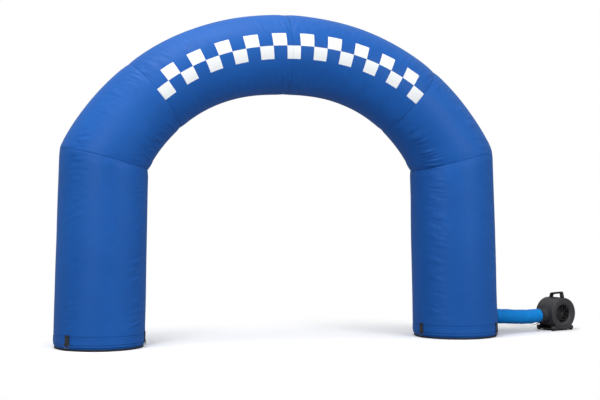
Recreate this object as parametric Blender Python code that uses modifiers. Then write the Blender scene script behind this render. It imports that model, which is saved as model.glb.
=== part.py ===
"""Inflatable event arch, standing, with the blower that keeps it filled.

Six sewn cloth tubes form the arch: two legs, two shoulders and two top halves. Each leg stands
on a round ground pad and carries a foot band with three anchor straps and their D-rings. A cloth
sleeve brings the air from a centrifugal blower to the right leg.

Metres, +Z up. The origin is the centre of the left pad's underside. +X runs along the arch
towards the blower, and -Y is the front of the arch.
"""

import math
from collections import namedtuple

import bmesh
import bpy
from mathutils import Matrix, Vector

# --- the arch: driving dimensions -------------------------------------------------------------
ARCH_HEIGHT = 4.0
FOOT_SPACING = 4.54
FOOT_RADIUS = 0.540
SHOULDER_RADIUS = 0.526
HAUNCH_RADIUS = 0.484
CROWN_RADIUS = 0.489

# The centreline above the legs is a superellipse: x = a cos(t)^(2/n), z = z0 + b sin(t)^(2/n).
CURVE_HALF_WIDTH = 2.56
CURVE_RISE = 2.89
CURVE_SQUARENESS = 2.19
CURVE_BASE = ARCH_HEIGHT - CROWN_RADIUS - CURVE_RISE
SHOULDER_TURN = math.radians(31.75)
HAUNCH_TURN = math.radians(53.0)
CROWN_TURN = math.radians(90.0)
CURVE_TABLE_STEPS = 400
ALONG_STEP = 0.002
TOP_STEPS = 5

# --- cloth and sewing -------------------------------------------------------------------------
CLOTH = 0.002
GAP = 0.0003
AROUND = 32
SEAM_DRAW = 0.012
SEAM_EASE = 0.045
EASE_DRAW = 0.003
PANEL_BULGE = 0.004
GORE_DRAW = 0.006
GORE_SEAMS = (45, 135, 225, 315)
SEAM_PUCKER = 0.003

# --- feet -------------------------------------------------------------------------------------
PAD_SHEET = 0.004
PAD_BEAD = 0.022
PAD_BEAD_RADIUS = 0.516
PAD_BEAD_STEPS = 6
BAND_BOTTOM = 0.076
BAND_TOP = 0.150
# Where the cloth is drawn in at the stitches above the band.
BAND_STITCHES = BAND_TOP + 0.012

# --- anchor straps and D-rings ----------------------------------------------------------------
WEBBING = 0.0025
STRAP_WIDTH = 0.070
STRAP_TOP = 0.186
STRAP_EYE = 0.068
STRAP_NECK = 0.006
STRAP_LAP_TURN = 20
STRAP_LAP_STEPS = 9
STRAP_EYE_TURN = 330
STRAP_EYE_STEPS = 11
RING_WIRE = 0.0035
RING_HALF_WIDTH = 0.0385
RING_DROP = 0.040
RING_STEPS = 10
# Azimuths count from the front, towards the passage, in facets of the leg.
FACET = math.tau / AROUND
STRAP_FACETS = {"outer": -4.5, "inner": 6.5, "rear": 16.5}

# --- inflation sleeve -------------------------------------------------------------------------
SLEEVE_RADIUS = 0.089
SLEEVE_AROUND = 24
SLEEVE_STEPS = 8
SLEEVE_CLEAR = 0.022
SLEEVE_LAP = 0.103
SLEEVE_FALL = 0.10
SLEEVE_ROOT = 0.070
INLET_CUT = 0.120
INLET_HEIGHT = 0.245
INLET_TURN = math.radians(4.0)
CINCH_WIDTH = 0.032
CINCH_TAIL = 0.130
CINCH_DROP = 0.040
CINCH_INSET = 0.080
CINCH_TAIL_STEPS = 4

# --- blower, about its own place on the floor; its intake faces -Y ------------------------------
BLOWER_X = 3.8004
BLOWER_Y = 0.2791
BLOWER_TURN = math.radians(18.0)
DRUM_RADIUS = 0.2045
DRUM_LENGTH = 0.312
DRUM_HEIGHT = 0.220
DRUM_WALL = 0.004
DRUM_AROUND = 32
DRUM_EDGE = 0.018
BACK_PANEL_RADIUS = 0.112
BACK_PANEL_SLOPE = 0.010
BACK_PANEL_RISE = 0.008
PAST = 0.010
NOZZLE_HEIGHT = 0.200
NOZZLE_REACH = 0.365
NOZZLE_WALL = 0.004
NOZZLE_ROOT = 0.050
NOZZLE_BORE_ROOT = 0.080
RIM_LAP = 0.014
RIM_STEP = 0.004
THROAT_RADIUS = 0.1175
THROAT_WALL = 0.003
WHEEL_RADIUS = 0.135
WHEEL_WIDTH = 0.100
WHEEL_BLADES = 16
HUB_RADIUS = 0.028
SHAFT_RADIUS = 0.007
WHEEL_SETBACK = 0.036
WHEEL_DISC = 0.004
WHEEL_BAND = 0.020
WHEEL_BAND_THICKNESS = 0.006
HUB_HEIGHT = 0.040
HUB_EDGE = 0.006
BLADE_INSET = 0.011
BLADE_SHIFT = -0.004
BLADE_OUTER = 0.0095
BLADE_INNER = 0.0070
BLADE_TURN = (60, 200)
MOTOR_RADIUS = 0.052
MOTOR_EDGE = 0.008
SHAFT_PAST = 0.034
MOTOR_AROUND = 24
HANDLE_WIDTH = 0.034
HANDLE_SPAN = 0.270
HANDLE_SHIFT = 0.030
HANDLE_FRONT_RISE = 0.087
HANDLE_BACK_RISE = 0.064
HANDLE_BAR = 0.026
HANDLE_LEG = 0.042
HANDLE_LEAN = 0.020
HANDLE_CORNER = 0.031
HANDLE_SWEEP = 84
HANDLE_SINK = 0.014
HANDLE_FOOT = 0.006
HANDLE_FILLET = 0.008
HANDLE_FILLET_INSET = 0.010
HANDLE_EDGE = 0.005
HANDLE_EDGE_TURN = math.radians(60)
BASE_WIDTH = 0.370
BASE_DEPTH = 0.321
SADDLE = 0.052
SADDLE_EDGE = 0.016
PLATE_WIDTH = 0.320
PLATE_DEPTH = 0.291
PLATE_THICKNESS = 0.014
PLATE_MIDDLE = 0.009
FOOT_PAD = 0.012
FOOT_PAD_RADIUS = 0.024
FOOT_PAD_EDGE = 0.004
FOOT_PAD_INSET = (0.030, 0.026)
SMALL_AROUND = 16

# --- meshes -----------------------------------------------------------------------------------
MERGE = 0.000001
SHARP_TURN = math.radians(35)

Ring = namedtuple("Ring", "centre along stretch radius gore pucker")

MATERIALS = {
    # name: (colour, roughness, metallic)
    "arch_cloth": ((0.018, 0.105, 0.420, 1), 0.55, 0.0),
    "sleeve_cloth": ((0.010, 0.180, 0.620, 1), 0.50, 0.0),
    "pad_vinyl": ((0.012, 0.013, 0.016, 1), 0.60, 0.0),
    "webbing": ((0.014, 0.014, 0.016, 1), 0.80, 0.0),
    "ring_steel": ((0.340, 0.340, 0.360, 1), 0.42, 1.0),
    "housing_plastic": ((0.038, 0.038, 0.041, 1), 0.50, 0.0),
    "grille_plastic": ((0.040, 0.040, 0.042, 1), 0.48, 0.0),
    "handle_plastic": ((0.012, 0.012, 0.013, 1), 0.40, 0.0),
    "foot_rubber": ((0.010, 0.010, 0.011, 1), 0.85, 0.0),
    "motor_metal": ((0.300, 0.300, 0.310, 1), 0.40, 1.0),
}


# --- scene helpers ----------------------------------------------------------------------------
def clear_scene():
    for old in list(bpy.data.objects):
        bpy.data.objects.remove(old)


def make_collection(name):
    made = bpy.data.collections.new(name)
    bpy.context.scene.collection.children.link(made)
    return made


def make_material(name):
    colour, roughness, metallic = MATERIALS[name]
    made = bpy.data.materials.new(name)
    made.use_nodes = True
    shader = made.node_tree.nodes["Principled BSDF"]
    shader.inputs["Base Color"].default_value = colour
    shader.inputs["Roughness"].default_value = roughness
    shader.inputs["Metallic"].default_value = metallic
    made.diffuse_color = colour
    return made


def make_empty(name, location, parent=None, turn=0.0):
    made = bpy.data.objects.new(name, None)
    made.location = location
    made.rotation_euler.z = turn
    made.parent = parent
    PARTS.objects.link(made)
    return made


def add_object(name, data, material, parent, place=Matrix.Identity(4)):
    """A piece of the arch, with one material, placed in its parent's frame."""
    made = bpy.data.objects.new(name, data)
    data.materials.append(SLOTS[material])
    made.parent = parent
    made.matrix_local = place
    PARTS.objects.link(made)
    return made


def object_from_bmesh(name, bm, material, parent, place=Matrix.Identity(4), smooth=True):
    mesh = bpy.data.meshes.new(name)
    bm.to_mesh(mesh)
    bm.free()
    made = add_object(name, mesh, material, parent, place)
    if smooth:
        mesh.shade_smooth()
        mesh.set_sharp_from_angle(angle=SHARP_TURN)
    return made


def make_helper(obj):
    """Turns an object into a cutter: out of the render, and in the cutters' collection."""
    PARTS.objects.unlink(obj)
    CUTTERS.objects.link(obj)
    obj.hide_render = True
    obj.display_type = "WIRE"
    return obj


def boolean(target, other, operation):
    cut = target.modifiers.new(operation.title(), "BOOLEAN")
    cut.operation = operation
    cut.solver = "EXACT"
    cut.object = make_helper(other)


def solidify(obj, thickness):
    """Gives an open surface its wall, on the inner side."""
    wall = obj.modifiers.new("Wall", "SOLIDIFY")
    wall.thickness = thickness
    wall.offset = -1
    return obj


def turned(name, profile, material, parent, place, steps=DRUM_AROUND, closed=False):
    """A profile of (radius, height) points spun about its own Z. It runs down its outer side."""
    bm = bmesh.new()
    points = [bm.verts.new((radius, 0, height)) for radius, height in profile]
    for first, second in zip(points, points[1:]):
        bm.edges.new((first, second))
    if closed:
        bm.edges.new((points[-1], points[0]))
    made = object_from_bmesh(name, bm, material, parent, place, smooth=False)
    spin = made.modifiers.new("Spin", "SCREW")
    spin.steps = steps
    spin.render_steps = steps
    spin.use_merge_vertices = True
    spin.merge_threshold = MERGE
    spin.use_smooth_shade = False
    return made


def extruded(name, outlines, thickness, material, parent, place):
    """Flat closed outlines in XY, thickened along Z. An outline inside another is a hole."""
    curve = bpy.data.curves.new(name, "CURVE")
    curve.dimensions = "2D"
    curve.fill_mode = "BOTH"
    curve.extrude = thickness / 2
    for outline in outlines:
        spline = curve.splines.new("POLY")
        spline.points.add(len(outline) - 1)
        for point, (x, y) in zip(spline.points, outline):
            point.co = (x, y, 0, 1)
        spline.use_cyclic_u = True
    return as_mesh(add_object(name, curve, material, parent, place))


def as_mesh(obj):
    """The curve object's shape as a mesh object of the same name, with its caps welded on."""
    bpy.context.view_layer.update()
    graph = bpy.context.evaluated_depsgraph_get()
    mesh = bpy.data.meshes.new_from_object(obj.evaluated_get(graph))
    bm = bmesh.new()
    bm.from_mesh(mesh)
    bmesh.ops.remove_doubles(bm, verts=bm.verts, dist=MERGE)
    bm.to_mesh(mesh)
    bm.free()
    name = obj.name
    made = bpy.data.objects.new(name + "_mesh", mesh)
    made.parent = obj.parent
    made.matrix_local = obj.matrix_local
    PARTS.objects.link(made)
    bpy.data.objects.remove(obj)
    made.name = name
    return made


def box(name, size, centre, material, parent, bevel=0.0):
    bm = bmesh.new()
    bmesh.ops.create_cube(bm, size=1)
    bmesh.ops.scale(bm, vec=size, verts=bm.verts)
    bmesh.ops.translate(bm, vec=centre, verts=bm.verts)
    made = object_from_bmesh(name, bm, material, parent, smooth=False)
    if bevel:
        edges = made.modifiers.new("Edges", "BEVEL")
        edges.width = bevel
        edges.segments = 2
        edges.limit_method = "ANGLE"
    return made


def arc(centre, radius, start, end, steps):
    """Points on a circle from one angle to another, in degrees."""
    angles = [math.radians(start + (end - start) * i / steps) for i in range(steps + 1)]
    return [(centre[0] + radius * math.cos(a), centre[1] + radius * math.sin(a)) for a in angles]


# --- the tube that every cloth panel is bent from ---------------------------------------------
def tube_surface(rings, around):
    """An open tube through the rings, bent from a plain cylinder. The cylinder's angle 0 lies on
    the outside of the bend and 90 degrees is +Y."""
    bm = bmesh.new()
    last = len(rings) - 1
    bmesh.ops.create_cone(bm, cap_ends=False, segments=around, radius1=1, radius2=1, depth=last)
    long_edges = [e for e in bm.edges if abs(e.verts[0].co.z - e.verts[1].co.z) > 0.5]
    if last > 1:
        bmesh.ops.subdivide_edges(bm, edges=long_edges, cuts=last - 1)
    for vert in bm.verts:
        ring = rings[round(vert.co.z + last / 2)]
        step = round(math.atan2(vert.co.y, vert.co.x) / math.tau * around) % around
        vert.co = ring_point(ring, step, around)
    return bm


def ring_point(ring, step, around):
    """The point of a ring at one of its even steps, with its sewn creases and puckers."""
    angle = math.tau * step / around
    radius = ring.radius
    if round(math.degrees(angle), 3) in GORE_SEAMS:
        radius -= ring.gore
    radius += ring.pucker if step % 2 else -ring.pucker
    out = Vector((0, 1, 0)).cross(ring.along)
    across = out * (radius * ring.stretch * math.cos(angle))
    return ring.centre + across + Vector((0, radius * math.sin(angle), 0))


def cloth_tube(name, rings, material, parent, side=1, around=AROUND):
    """A cloth panel sewn into a tube. The left side's panels are the right side's, mirrored."""
    bm = tube_surface(rings, around)
    if side < 0:
        bmesh.ops.scale(bm, vec=(-1, 1, 1), verts=bm.verts)
        bmesh.ops.reverse_faces(bm, faces=bm.faces)
    return solidify(object_from_bmesh(name, bm, material, parent), CLOTH)


# --- the arch's centreline --------------------------------------------------------------------
def curve_point(turn):
    power = 2 / CURVE_SQUARENESS
    across = CURVE_HALF_WIDTH * max(math.cos(turn), 0) ** power
    return Vector((across, 0, CURVE_BASE + CURVE_RISE * math.sin(turn) ** power))


def curve_table(steps=CURVE_TABLE_STEPS):
    """(distance from the shoulder, turn) pairs along the curved half."""
    table = [(0.0, SHOULDER_TURN)]
    for i in range(1, steps + 1):
        turn = SHOULDER_TURN + (CROWN_TURN - SHOULDER_TURN) * i / steps
        before, last_turn = table[-1]
        table.append((before + (curve_point(turn) - curve_point(last_turn)).length, turn))
    return table


def look_up(value, source, target):
    """Straight-line interpolation of target at the place where source holds value."""
    for i in range(1, len(source)):
        if value <= source[i] or i == len(source) - 1:
            share = (value - source[i - 1]) / (source[i] - source[i - 1])
            return target[i - 1] + (target[i] - target[i - 1]) * share
    return target[-1]


DISTANCES, TURNS = zip(*curve_table())
HALF_LENGTH = DISTANCES[-1]
HAUNCH_DISTANCE = look_up(HAUNCH_TURN, TURNS, DISTANCES)
SHOULDER_POINT = curve_point(SHOULDER_TURN)
LEG_AXIS = (SHOULDER_POINT - Vector((FOOT_SPACING / 2, 0, 0))).normalized()


def curve_at(distance):
    return curve_point(look_up(distance, DISTANCES, TURNS))


def curve_along(distance):
    step = ALONG_STEP
    low = max(distance - step, 0)
    high = min(distance + step, HALF_LENGTH)
    return (curve_at(high) - curve_at(low)).normalized()


def curve_radius(distance):
    """The tube's radius: a parabola through the shoulder's, the haunch's and the crown's."""
    t = distance / HALF_LENGTH
    start = SHOULDER_RADIUS * (1 - t) * (1 - 2 * t)
    return start + 4 * HAUNCH_RADIUS * t * (1 - t) + CROWN_RADIUS * t * (2 * t - 1)


MITRE = (LEG_AXIS + curve_along(0)).normalized()
MITRE_STRETCH = 1 / MITRE.dot(LEG_AXIS)
MITRE_EASE = 0.30


def curve_ring(distance, shift, draw, gore, pucker):
    """A ring of the curved half. Near the shoulder it leans into the mitred joint."""
    lean = max(0.0, 1 - distance / MITRE_EASE)
    along = curve_along(distance).lerp(MITRE, lean).normalized()
    stretch = 1 + (MITRE_STRETCH - 1) * lean
    centre = curve_at(distance) + along * shift
    return Ring(centre, along, stretch, curve_radius(distance) - draw, gore, pucker)


def curve_rings(start, end, middle):
    """A sewn panel's rings: drawn in at both seams, a little full between them."""
    rings = [
        curve_ring(start, GAP / 2, SEAM_DRAW, GORE_DRAW / 2, 0),
        curve_ring(start + SEAM_EASE, 0, EASE_DRAW, GORE_DRAW / 2, SEAM_PUCKER),
    ]
    for i in range(1, middle + 1):
        share = i / (middle + 1)
        bulge = PANEL_BULGE * math.sin(math.pi * share)
        rings.append(curve_ring(start + (end - start) * share, 0, -bulge, GORE_DRAW, 0))
    rings += [
        curve_ring(end - SEAM_EASE, 0, EASE_DRAW, GORE_DRAW / 2, SEAM_PUCKER),
        curve_ring(end, -GAP / 2, SEAM_DRAW, GORE_DRAW / 2, 0),
    ]
    return rings


# --- legs -------------------------------------------------------------------------------------
# A level ring for each row. draw is how far the cloth is pulled in there.
LegRow = namedtuple("LegRow", "height draw gore")
LEG_ROWS = (
    LegRow(height=PAD_BEAD + GAP, draw=0.024, gore=0.0),
    LegRow(height=0.034, draw=0.009, gore=0.0),
    LegRow(height=0.056, draw=0.003, gore=0.0),
    LegRow(height=0.066, draw=0.009, gore=0.0),
    LegRow(height=BAND_BOTTOM, draw=0.002, gore=0.0),
    LegRow(height=BAND_TOP, draw=0.001, gore=0.0),
    LegRow(height=BAND_STITCHES, draw=0.003, gore=0.0),
    LegRow(height=0.420, draw=-0.001, gore=GORE_DRAW / 2),
    LegRow(height=0.900, draw=-0.003, gore=GORE_DRAW),
    LegRow(height=1.420, draw=-0.004, gore=GORE_DRAW),
    LegRow(height=1.960, draw=-0.001, gore=GORE_DRAW),
)


BAND_ROWS = [row for row in LEG_ROWS if row.height in (BAND_BOTTOM, BAND_TOP)]


def leg_centre(height):
    share = height / SHOULDER_POINT.z
    return Vector((FOOT_SPACING / 2, 0, 0)).lerp(SHOULDER_POINT, share)


def leg_radius(height):
    return FOOT_RADIUS + (SHOULDER_RADIUS - FOOT_RADIUS) * height / SHOULDER_POINT.z


def leg_ring(row, more=0.0):
    up = Vector((0, 0, 1))
    radius = leg_radius(row.height) - row.draw + more
    return Ring(leg_centre(row.height), up, 1, radius, row.gore, 0)


def leg_rings(more=0.0):
    """The leg's rings from the pad to the mitred shoulder joint."""
    rings = [leg_ring(row, more) for row in LEG_ROWS]
    ease = SHOULDER_POINT - LEG_AXIS * SEAM_EASE
    seam = SHOULDER_POINT - MITRE * (GAP / 2)
    near, drawn = SHOULDER_RADIUS - EASE_DRAW + more, SHOULDER_RADIUS - SEAM_DRAW + more
    rings.append(Ring(ease, MITRE, MITRE_STRETCH, near, GORE_DRAW / 2, SEAM_PUCKER))
    rings.append(Ring(seam, MITRE, MITRE_STRETCH, drawn, GORE_DRAW / 2, 0))
    return rings


def side_name(side):
    return "right" if side > 0 else "left"


def make_leg(side):
    return cloth_tube(side_name(side) + "_leg", leg_rings(), "arch_cloth", ARCH, side)


def make_shoulder(side):
    rings = curve_rings(0, HAUNCH_DISTANCE, 3)
    return cloth_tube(side_name(side) + "_shoulder", rings, "arch_cloth", ARCH, side)


def make_top(side):
    rings = curve_rings(HAUNCH_DISTANCE, HALF_LENGTH, TOP_STEPS)
    return cloth_tube(side_name(side) + "_top", rings, "arch_cloth", ARCH, side)


def make_foot_band(side):
    """The doubled band around the foot, lying on the leg between its two sewn lines."""
    rings = [leg_ring(row, GAP + CLOTH) for row in BAND_ROWS]
    return cloth_tube(side_name(side) + "_foot_band", rings, "arch_cloth", ARCH, side)


def make_pad(side):
    """The ground pad: a vinyl disc whose rim is rolled into a bead that the leg is sewn to."""
    middle = PAD_BEAD / 2
    bead = arc((PAD_BEAD_RADIUS, middle), middle, 90, -90, PAD_BEAD_STEPS)
    inner_foot = (PAD_BEAD_RADIUS - middle, PAD_SHEET)
    inner_side = (PAD_BEAD_RADIUS - middle, middle)
    profile = [(0, PAD_SHEET), inner_foot, inner_side] + bead + [(0, 0)]
    place = Matrix.Translation((side * FOOT_SPACING / 2, 0, 0))
    return turned(side_name(side) + "_pad", profile, "pad_vinyl", ARCH, place, steps=AROUND)


# --- anchor straps and D-rings ----------------------------------------------------------------
def strap_place(side, facets):
    """A frame on the foot band at the strap's eye: X out of the leg, Z up along the band."""
    azimuth = facets * FACET
    out = Vector((-side * math.sin(azimuth), -math.cos(azimuth), 0))
    on_band = []
    for row in BAND_ROWS:
        ring = leg_ring(row, GAP + CLOTH)
        centre = Vector((side * ring.centre.x, 0, row.height))
        on_band.append(centre + out * (ring.radius * math.cos(FACET / 2) + GAP))
    up = (on_band[1] - on_band[0]).normalized()
    out = (out - up * out.dot(up)).normalized()
    place = Matrix((out, up.cross(out), up)).transposed().to_4x4()
    place.translation = on_band[0] + up * (STRAP_EYE - BAND_BOTTOM)
    return place


def make_strap(side, key):
    """Webbing folded through the D-ring and sewn back on itself: a strip that ends in an eye."""
    eye_inner = RING_WIRE + GAP
    eye_outer = eye_inner + WEBBING
    doubled = 2 * WEBBING
    top = STRAP_TOP - STRAP_EYE
    neck = eye_outer + STRAP_NECK
    outline = [(doubled, neck), (doubled, top), (0, top), (0, 0)]
    turned_over = 360 + STRAP_LAP_TURN
    outline += arc((eye_outer, 0), eye_outer, 180, turned_over, STRAP_LAP_STEPS)[1:]
    eye = arc((eye_outer, 0), eye_inner, 0, STRAP_EYE_TURN, STRAP_EYE_STEPS)
    stand = strap_place(side, STRAP_FACETS[key])
    upright = stand @ Matrix.Rotation(math.pi / 2, 4, "X")
    name = f"{side_name(side)}_strap_{key}"
    return extruded(name, [outline, eye], STRAP_WIDTH, "webbing", ARCH, upright)


def make_ring(side, key):
    """A D-ring of steel wire: a bar in the strap's eye and a bow that hangs from it."""
    bow = [
        (RING_HALF_WIDTH * math.cos(a), -RING_DROP * math.sin(a))
        for a in (math.pi * i / RING_STEPS for i in range(RING_STEPS + 1))
    ]
    curve = bpy.data.curves.new("ring", "CURVE")
    curve.dimensions = "3D"
    curve.bevel_depth = RING_WIRE
    curve.bevel_resolution = 1
    spline = curve.splines.new("POLY")
    spline.points.add(len(bow) - 1)
    for point, (y, z) in zip(spline.points, bow):
        point.co = (0, y, z, 1)
    spline.use_cyclic_u = True
    place = strap_place(side, STRAP_FACETS[key])
    place.translation += place.col[0].xyz * (RING_WIRE + GAP + WEBBING)
    name = f"{side_name(side)}_ring_{key}"
    return as_mesh(add_object(name, curve, "ring_steel", ARCH, place))


# --- blower -----------------------------------------------------------------------------------
# Its turned pieces are spun about an axis whose +Z looks out of the intake.
DRUM_AXIS = Matrix.Translation((0, 0, DRUM_HEIGHT)) @ Matrix.Rotation(math.pi / 2, 4, "X")
FRONT = DRUM_LENGTH / 2


def along_axis(height):
    return DRUM_AXIS @ Matrix.Translation((0, 0, height))


def nozzle_place(reach):
    """A frame on the nozzle's line at a distance from the drum's middle: Z points outwards."""
    turn = Matrix.Rotation(-math.pi / 2, 4, "Y")
    return Matrix.Translation((-reach, 0, NOZZLE_HEIGHT)) @ turn


def cylinder(name, radius, low, high, place, material, steps=DRUM_AROUND):
    bm = bmesh.new()
    bmesh.ops.create_cone(
        bm, cap_ends=True, segments=steps, radius1=radius, radius2=radius, depth=high - low
    )
    bmesh.ops.translate(bm, vec=(0, 0, (low + high) / 2), verts=bm.verts)
    return object_from_bmesh(name, bm, material, BLOWER, place, smooth=False)


def make_housing():
    """The drum and its outlet nozzle, moulded in one: an open front and a dished back."""
    outside = [
        (0, FRONT),
        (DRUM_RADIUS, FRONT),
        (DRUM_RADIUS, -FRONT + DRUM_EDGE),
        (DRUM_RADIUS - DRUM_EDGE / 3, -FRONT + DRUM_EDGE / 3),
        (DRUM_RADIUS - DRUM_EDGE, -FRONT),
        (BACK_PANEL_RADIUS + BACK_PANEL_SLOPE, -FRONT),
        (BACK_PANEL_RADIUS, -FRONT - BACK_PANEL_RISE),
        (0, -FRONT - BACK_PANEL_RISE),
    ]
    inner, floor, edge = DRUM_RADIUS - DRUM_WALL, -FRONT + DRUM_WALL, DRUM_EDGE - DRUM_WALL
    panel = BACK_PANEL_RADIUS - DRUM_WALL / 2
    inside = [
        (0, FRONT + PAST),
        (inner, FRONT + PAST),
        (inner, floor + edge),
        (inner - edge, floor),
        (panel + BACK_PANEL_SLOPE, floor),
        (panel, floor - BACK_PANEL_RISE),
        (0, floor - BACK_PANEL_RISE),
    ]
    housing = turned("housing", outside, "housing_plastic", BLOWER, DRUM_AXIS)
    cavity = turned("drum_cavity", inside, "housing_plastic", BLOWER, DRUM_AXIS)
    outer = SLEEVE_RADIUS - CLOTH - GAP
    root, bore_root = DRUM_RADIUS - NOZZLE_ROOT, DRUM_RADIUS - NOZZLE_BORE_ROOT
    boolean(housing, nozzle_rod("nozzle", outer, root, NOZZLE_REACH), "UNION")
    boolean(housing, cavity, "DIFFERENCE")
    bore = nozzle_rod("nozzle_bore", outer - NOZZLE_WALL, bore_root, NOZZLE_REACH + PAST)
    boolean(housing, bore, "DIFFERENCE")
    return housing


def nozzle_rod(name, radius, low, high):
    return cylinder(name, radius, low, high, nozzle_place(0), "housing_plastic", SLEEVE_AROUND)


# The intake ring's section: steps outwards from the throat or the rim, and heights.
THROAT_UNDERSIDE = ((-THROAT_WALL, -0.024), (-0.002, -0.012), (0.006, -0.002), (0.020, GAP))
RIM_OUTSIDE = ((RIM_STEP, 0.005), (-0.003, 0.012), (-0.014, 0.014))
THROAT_FACE = ((0.028, 0.009), (0.010, 0.004), (0.001, -0.006), (0, -0.024))


def make_intake_ring():
    """The front cover: a rim over the drum's edge, a wide face and a rounded throat."""
    rim = DRUM_RADIUS + GAP
    profile = [(THROAT_RADIUS + out, height) for out, height in THROAT_UNDERSIDE]
    profile += [(rim, GAP), (rim, -RIM_LAP), (rim + RIM_STEP, -RIM_LAP)]
    profile += [(rim + out, height) for out, height in RIM_OUTSIDE]
    profile += [(THROAT_RADIUS + out, height) for out, height in THROAT_FACE]
    place = along_axis(FRONT)
    profile.reverse()
    return turned("intake_ring", profile, "housing_plastic", BLOWER, place, closed=True)


GRILLE_THICKNESS = 0.004
GRILLE_BAR = 0.0035
GRILLE_RINGS = 3
GRILLE_SPOKES = 8
GRILLE_HUB = 0.017
GRILLE_AROUND = 24
GRILLE_SETBACK = 0.018
SPOKE_THICKNESS = 0.0028


def circle(radius, steps):
    return arc((0, 0), radius, 0, 360 - 360 / steps, steps - 1)


def make_grille():
    """The finger guard in the throat: level rings, spokes and a small hub disc."""
    outer = THROAT_RADIUS - THROAT_WALL - GAP
    pitch = (outer - GRILLE_HUB) / GRILLE_RINGS
    outlines = [circle(GRILLE_HUB, GRILLE_AROUND)]
    for i in range(1, GRILLE_RINGS + 1):
        edge = GRILLE_HUB + pitch * i
        outlines += [circle(edge - GRILLE_BAR, GRILLE_AROUND), circle(edge, GRILLE_AROUND)]
    place = along_axis(FRONT - GRILLE_SETBACK)
    grille = extruded("grille", outlines, GRILLE_THICKNESS, "grille_plastic", BLOWER, place)
    bm = bmesh.new()
    for i in range(GRILLE_SPOKES // 2):
        made = bmesh.ops.create_cube(bm, size=1)["verts"]
        size = (2 * outer - GRILLE_BAR, GRILLE_BAR, SPOKE_THICKNESS)
        bmesh.ops.scale(bm, vec=size, verts=made)
        turn = Matrix.Rotation(math.tau * i / GRILLE_SPOKES, 3, "Z")
        bmesh.ops.rotate(bm, matrix=turn, verts=made)
    spokes = object_from_bmesh("spokes", bm, "grille_plastic", BLOWER, place, smooth=False)
    unite = spokes.modifiers.new("Unite", "BOOLEAN")
    unite.operation = "UNION"
    unite.solver = "EXACT"
    unite.use_self = True
    unite.object = grille
    return swap_names(spokes, grille)


def swap_names(kept, helper):
    """Leaves the kept object as the piece, under the helper's name."""
    name = helper.name
    make_helper(helper)
    helper.name = name + "_tool"
    kept.name = name
    return kept


WHEEL_BACK = FRONT - WHEEL_SETBACK - WHEEL_WIDTH


def make_impeller():
    """The fan wheel: a dished back disc with a hub, forward-curved blades and a front ring."""
    bore = SHAFT_RADIUS + GAP
    disc = [
        (bore, HUB_HEIGHT),
        (HUB_RADIUS - HUB_EDGE, HUB_HEIGHT),
        (HUB_RADIUS, HUB_HEIGHT - HUB_EDGE),
        (HUB_RADIUS + HUB_EDGE, HUB_EDGE),
        (WHEEL_RADIUS, WHEEL_DISC),
        (WHEEL_RADIUS, 0),
        (bore, 0),
    ]
    wheel = turned(
        "impeller", disc, "grille_plastic", BLOWER, along_axis(WHEEL_BACK), closed=True
    )
    band = [
        (WHEEL_RADIUS - WHEEL_BAND, WHEEL_WIDTH),
        (WHEEL_RADIUS, WHEEL_WIDTH),
        (WHEEL_RADIUS, WHEEL_WIDTH - WHEEL_BAND_THICKNESS),
        (WHEEL_RADIUS - WHEEL_BAND, WHEEL_WIDTH - WHEEL_BAND_THICKNESS),
    ]
    ring = turned(
        "wheel_ring", band, "grille_plastic", BLOWER, along_axis(WHEEL_BACK), closed=True
    )
    centre, (start, end) = (WHEEL_RADIUS - BLADE_INSET, BLADE_SHIFT), BLADE_TURN
    outside = arc(centre, BLADE_OUTER, start, end, 2)
    inside = arc(centre, BLADE_INNER, end, start, 2)
    blades = []
    for i in range(WHEEL_BLADES):
        turn = math.tau * i / WHEEL_BLADES
        c, s = math.cos(turn), math.sin(turn)
        blades.append([(x * c - y * s, x * s + y * c) for x, y in outside + inside])
    middle = along_axis(WHEEL_BACK + WHEEL_WIDTH / 2)
    length = WHEEL_WIDTH - WHEEL_BAND_THICKNESS
    bladework = extruded("blades", blades, length, "grille_plastic", BLOWER, middle)
    boolean(wheel, bladework, "UNION")
    boolean(wheel, ring, "UNION")
    return wheel


def make_motor():
    """The motor on the drum's back wall, with the shaft that carries the wheel."""
    back = -FRONT + DRUM_WALL + GAP
    front, seat = WHEEL_BACK - WHEEL_DISC, back - BACK_PANEL_RISE + GAP
    profile = [
        (0, WHEEL_BACK + SHAFT_PAST),
        (SHAFT_RADIUS, WHEEL_BACK + SHAFT_PAST),
        (SHAFT_RADIUS, front),
        (MOTOR_RADIUS - MOTOR_EDGE, front),
        (MOTOR_RADIUS, front - MOTOR_EDGE),
        (MOTOR_RADIUS, seat),
        (0, seat),
    ]
    return turned("motor", profile, "motor_metal", BLOWER, DRUM_AXIS, steps=MOTOR_AROUND)


def drum_cutter(name):
    """The space that the drum and its front rim take, with the usual gap around it."""
    shell, rim, step = DRUM_RADIUS + GAP, DRUM_RADIUS + RIM_STEP + 2 * GAP, FRONT - RIM_LAP - GAP
    front, back = FRONT + SADDLE, -FRONT - SADDLE
    profile = [(0, front), (rim, front), (rim, step), (shell, step), (shell, back), (0, back)]
    return turned(name, profile, "housing_plastic", BLOWER, DRUM_AXIS)


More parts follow.
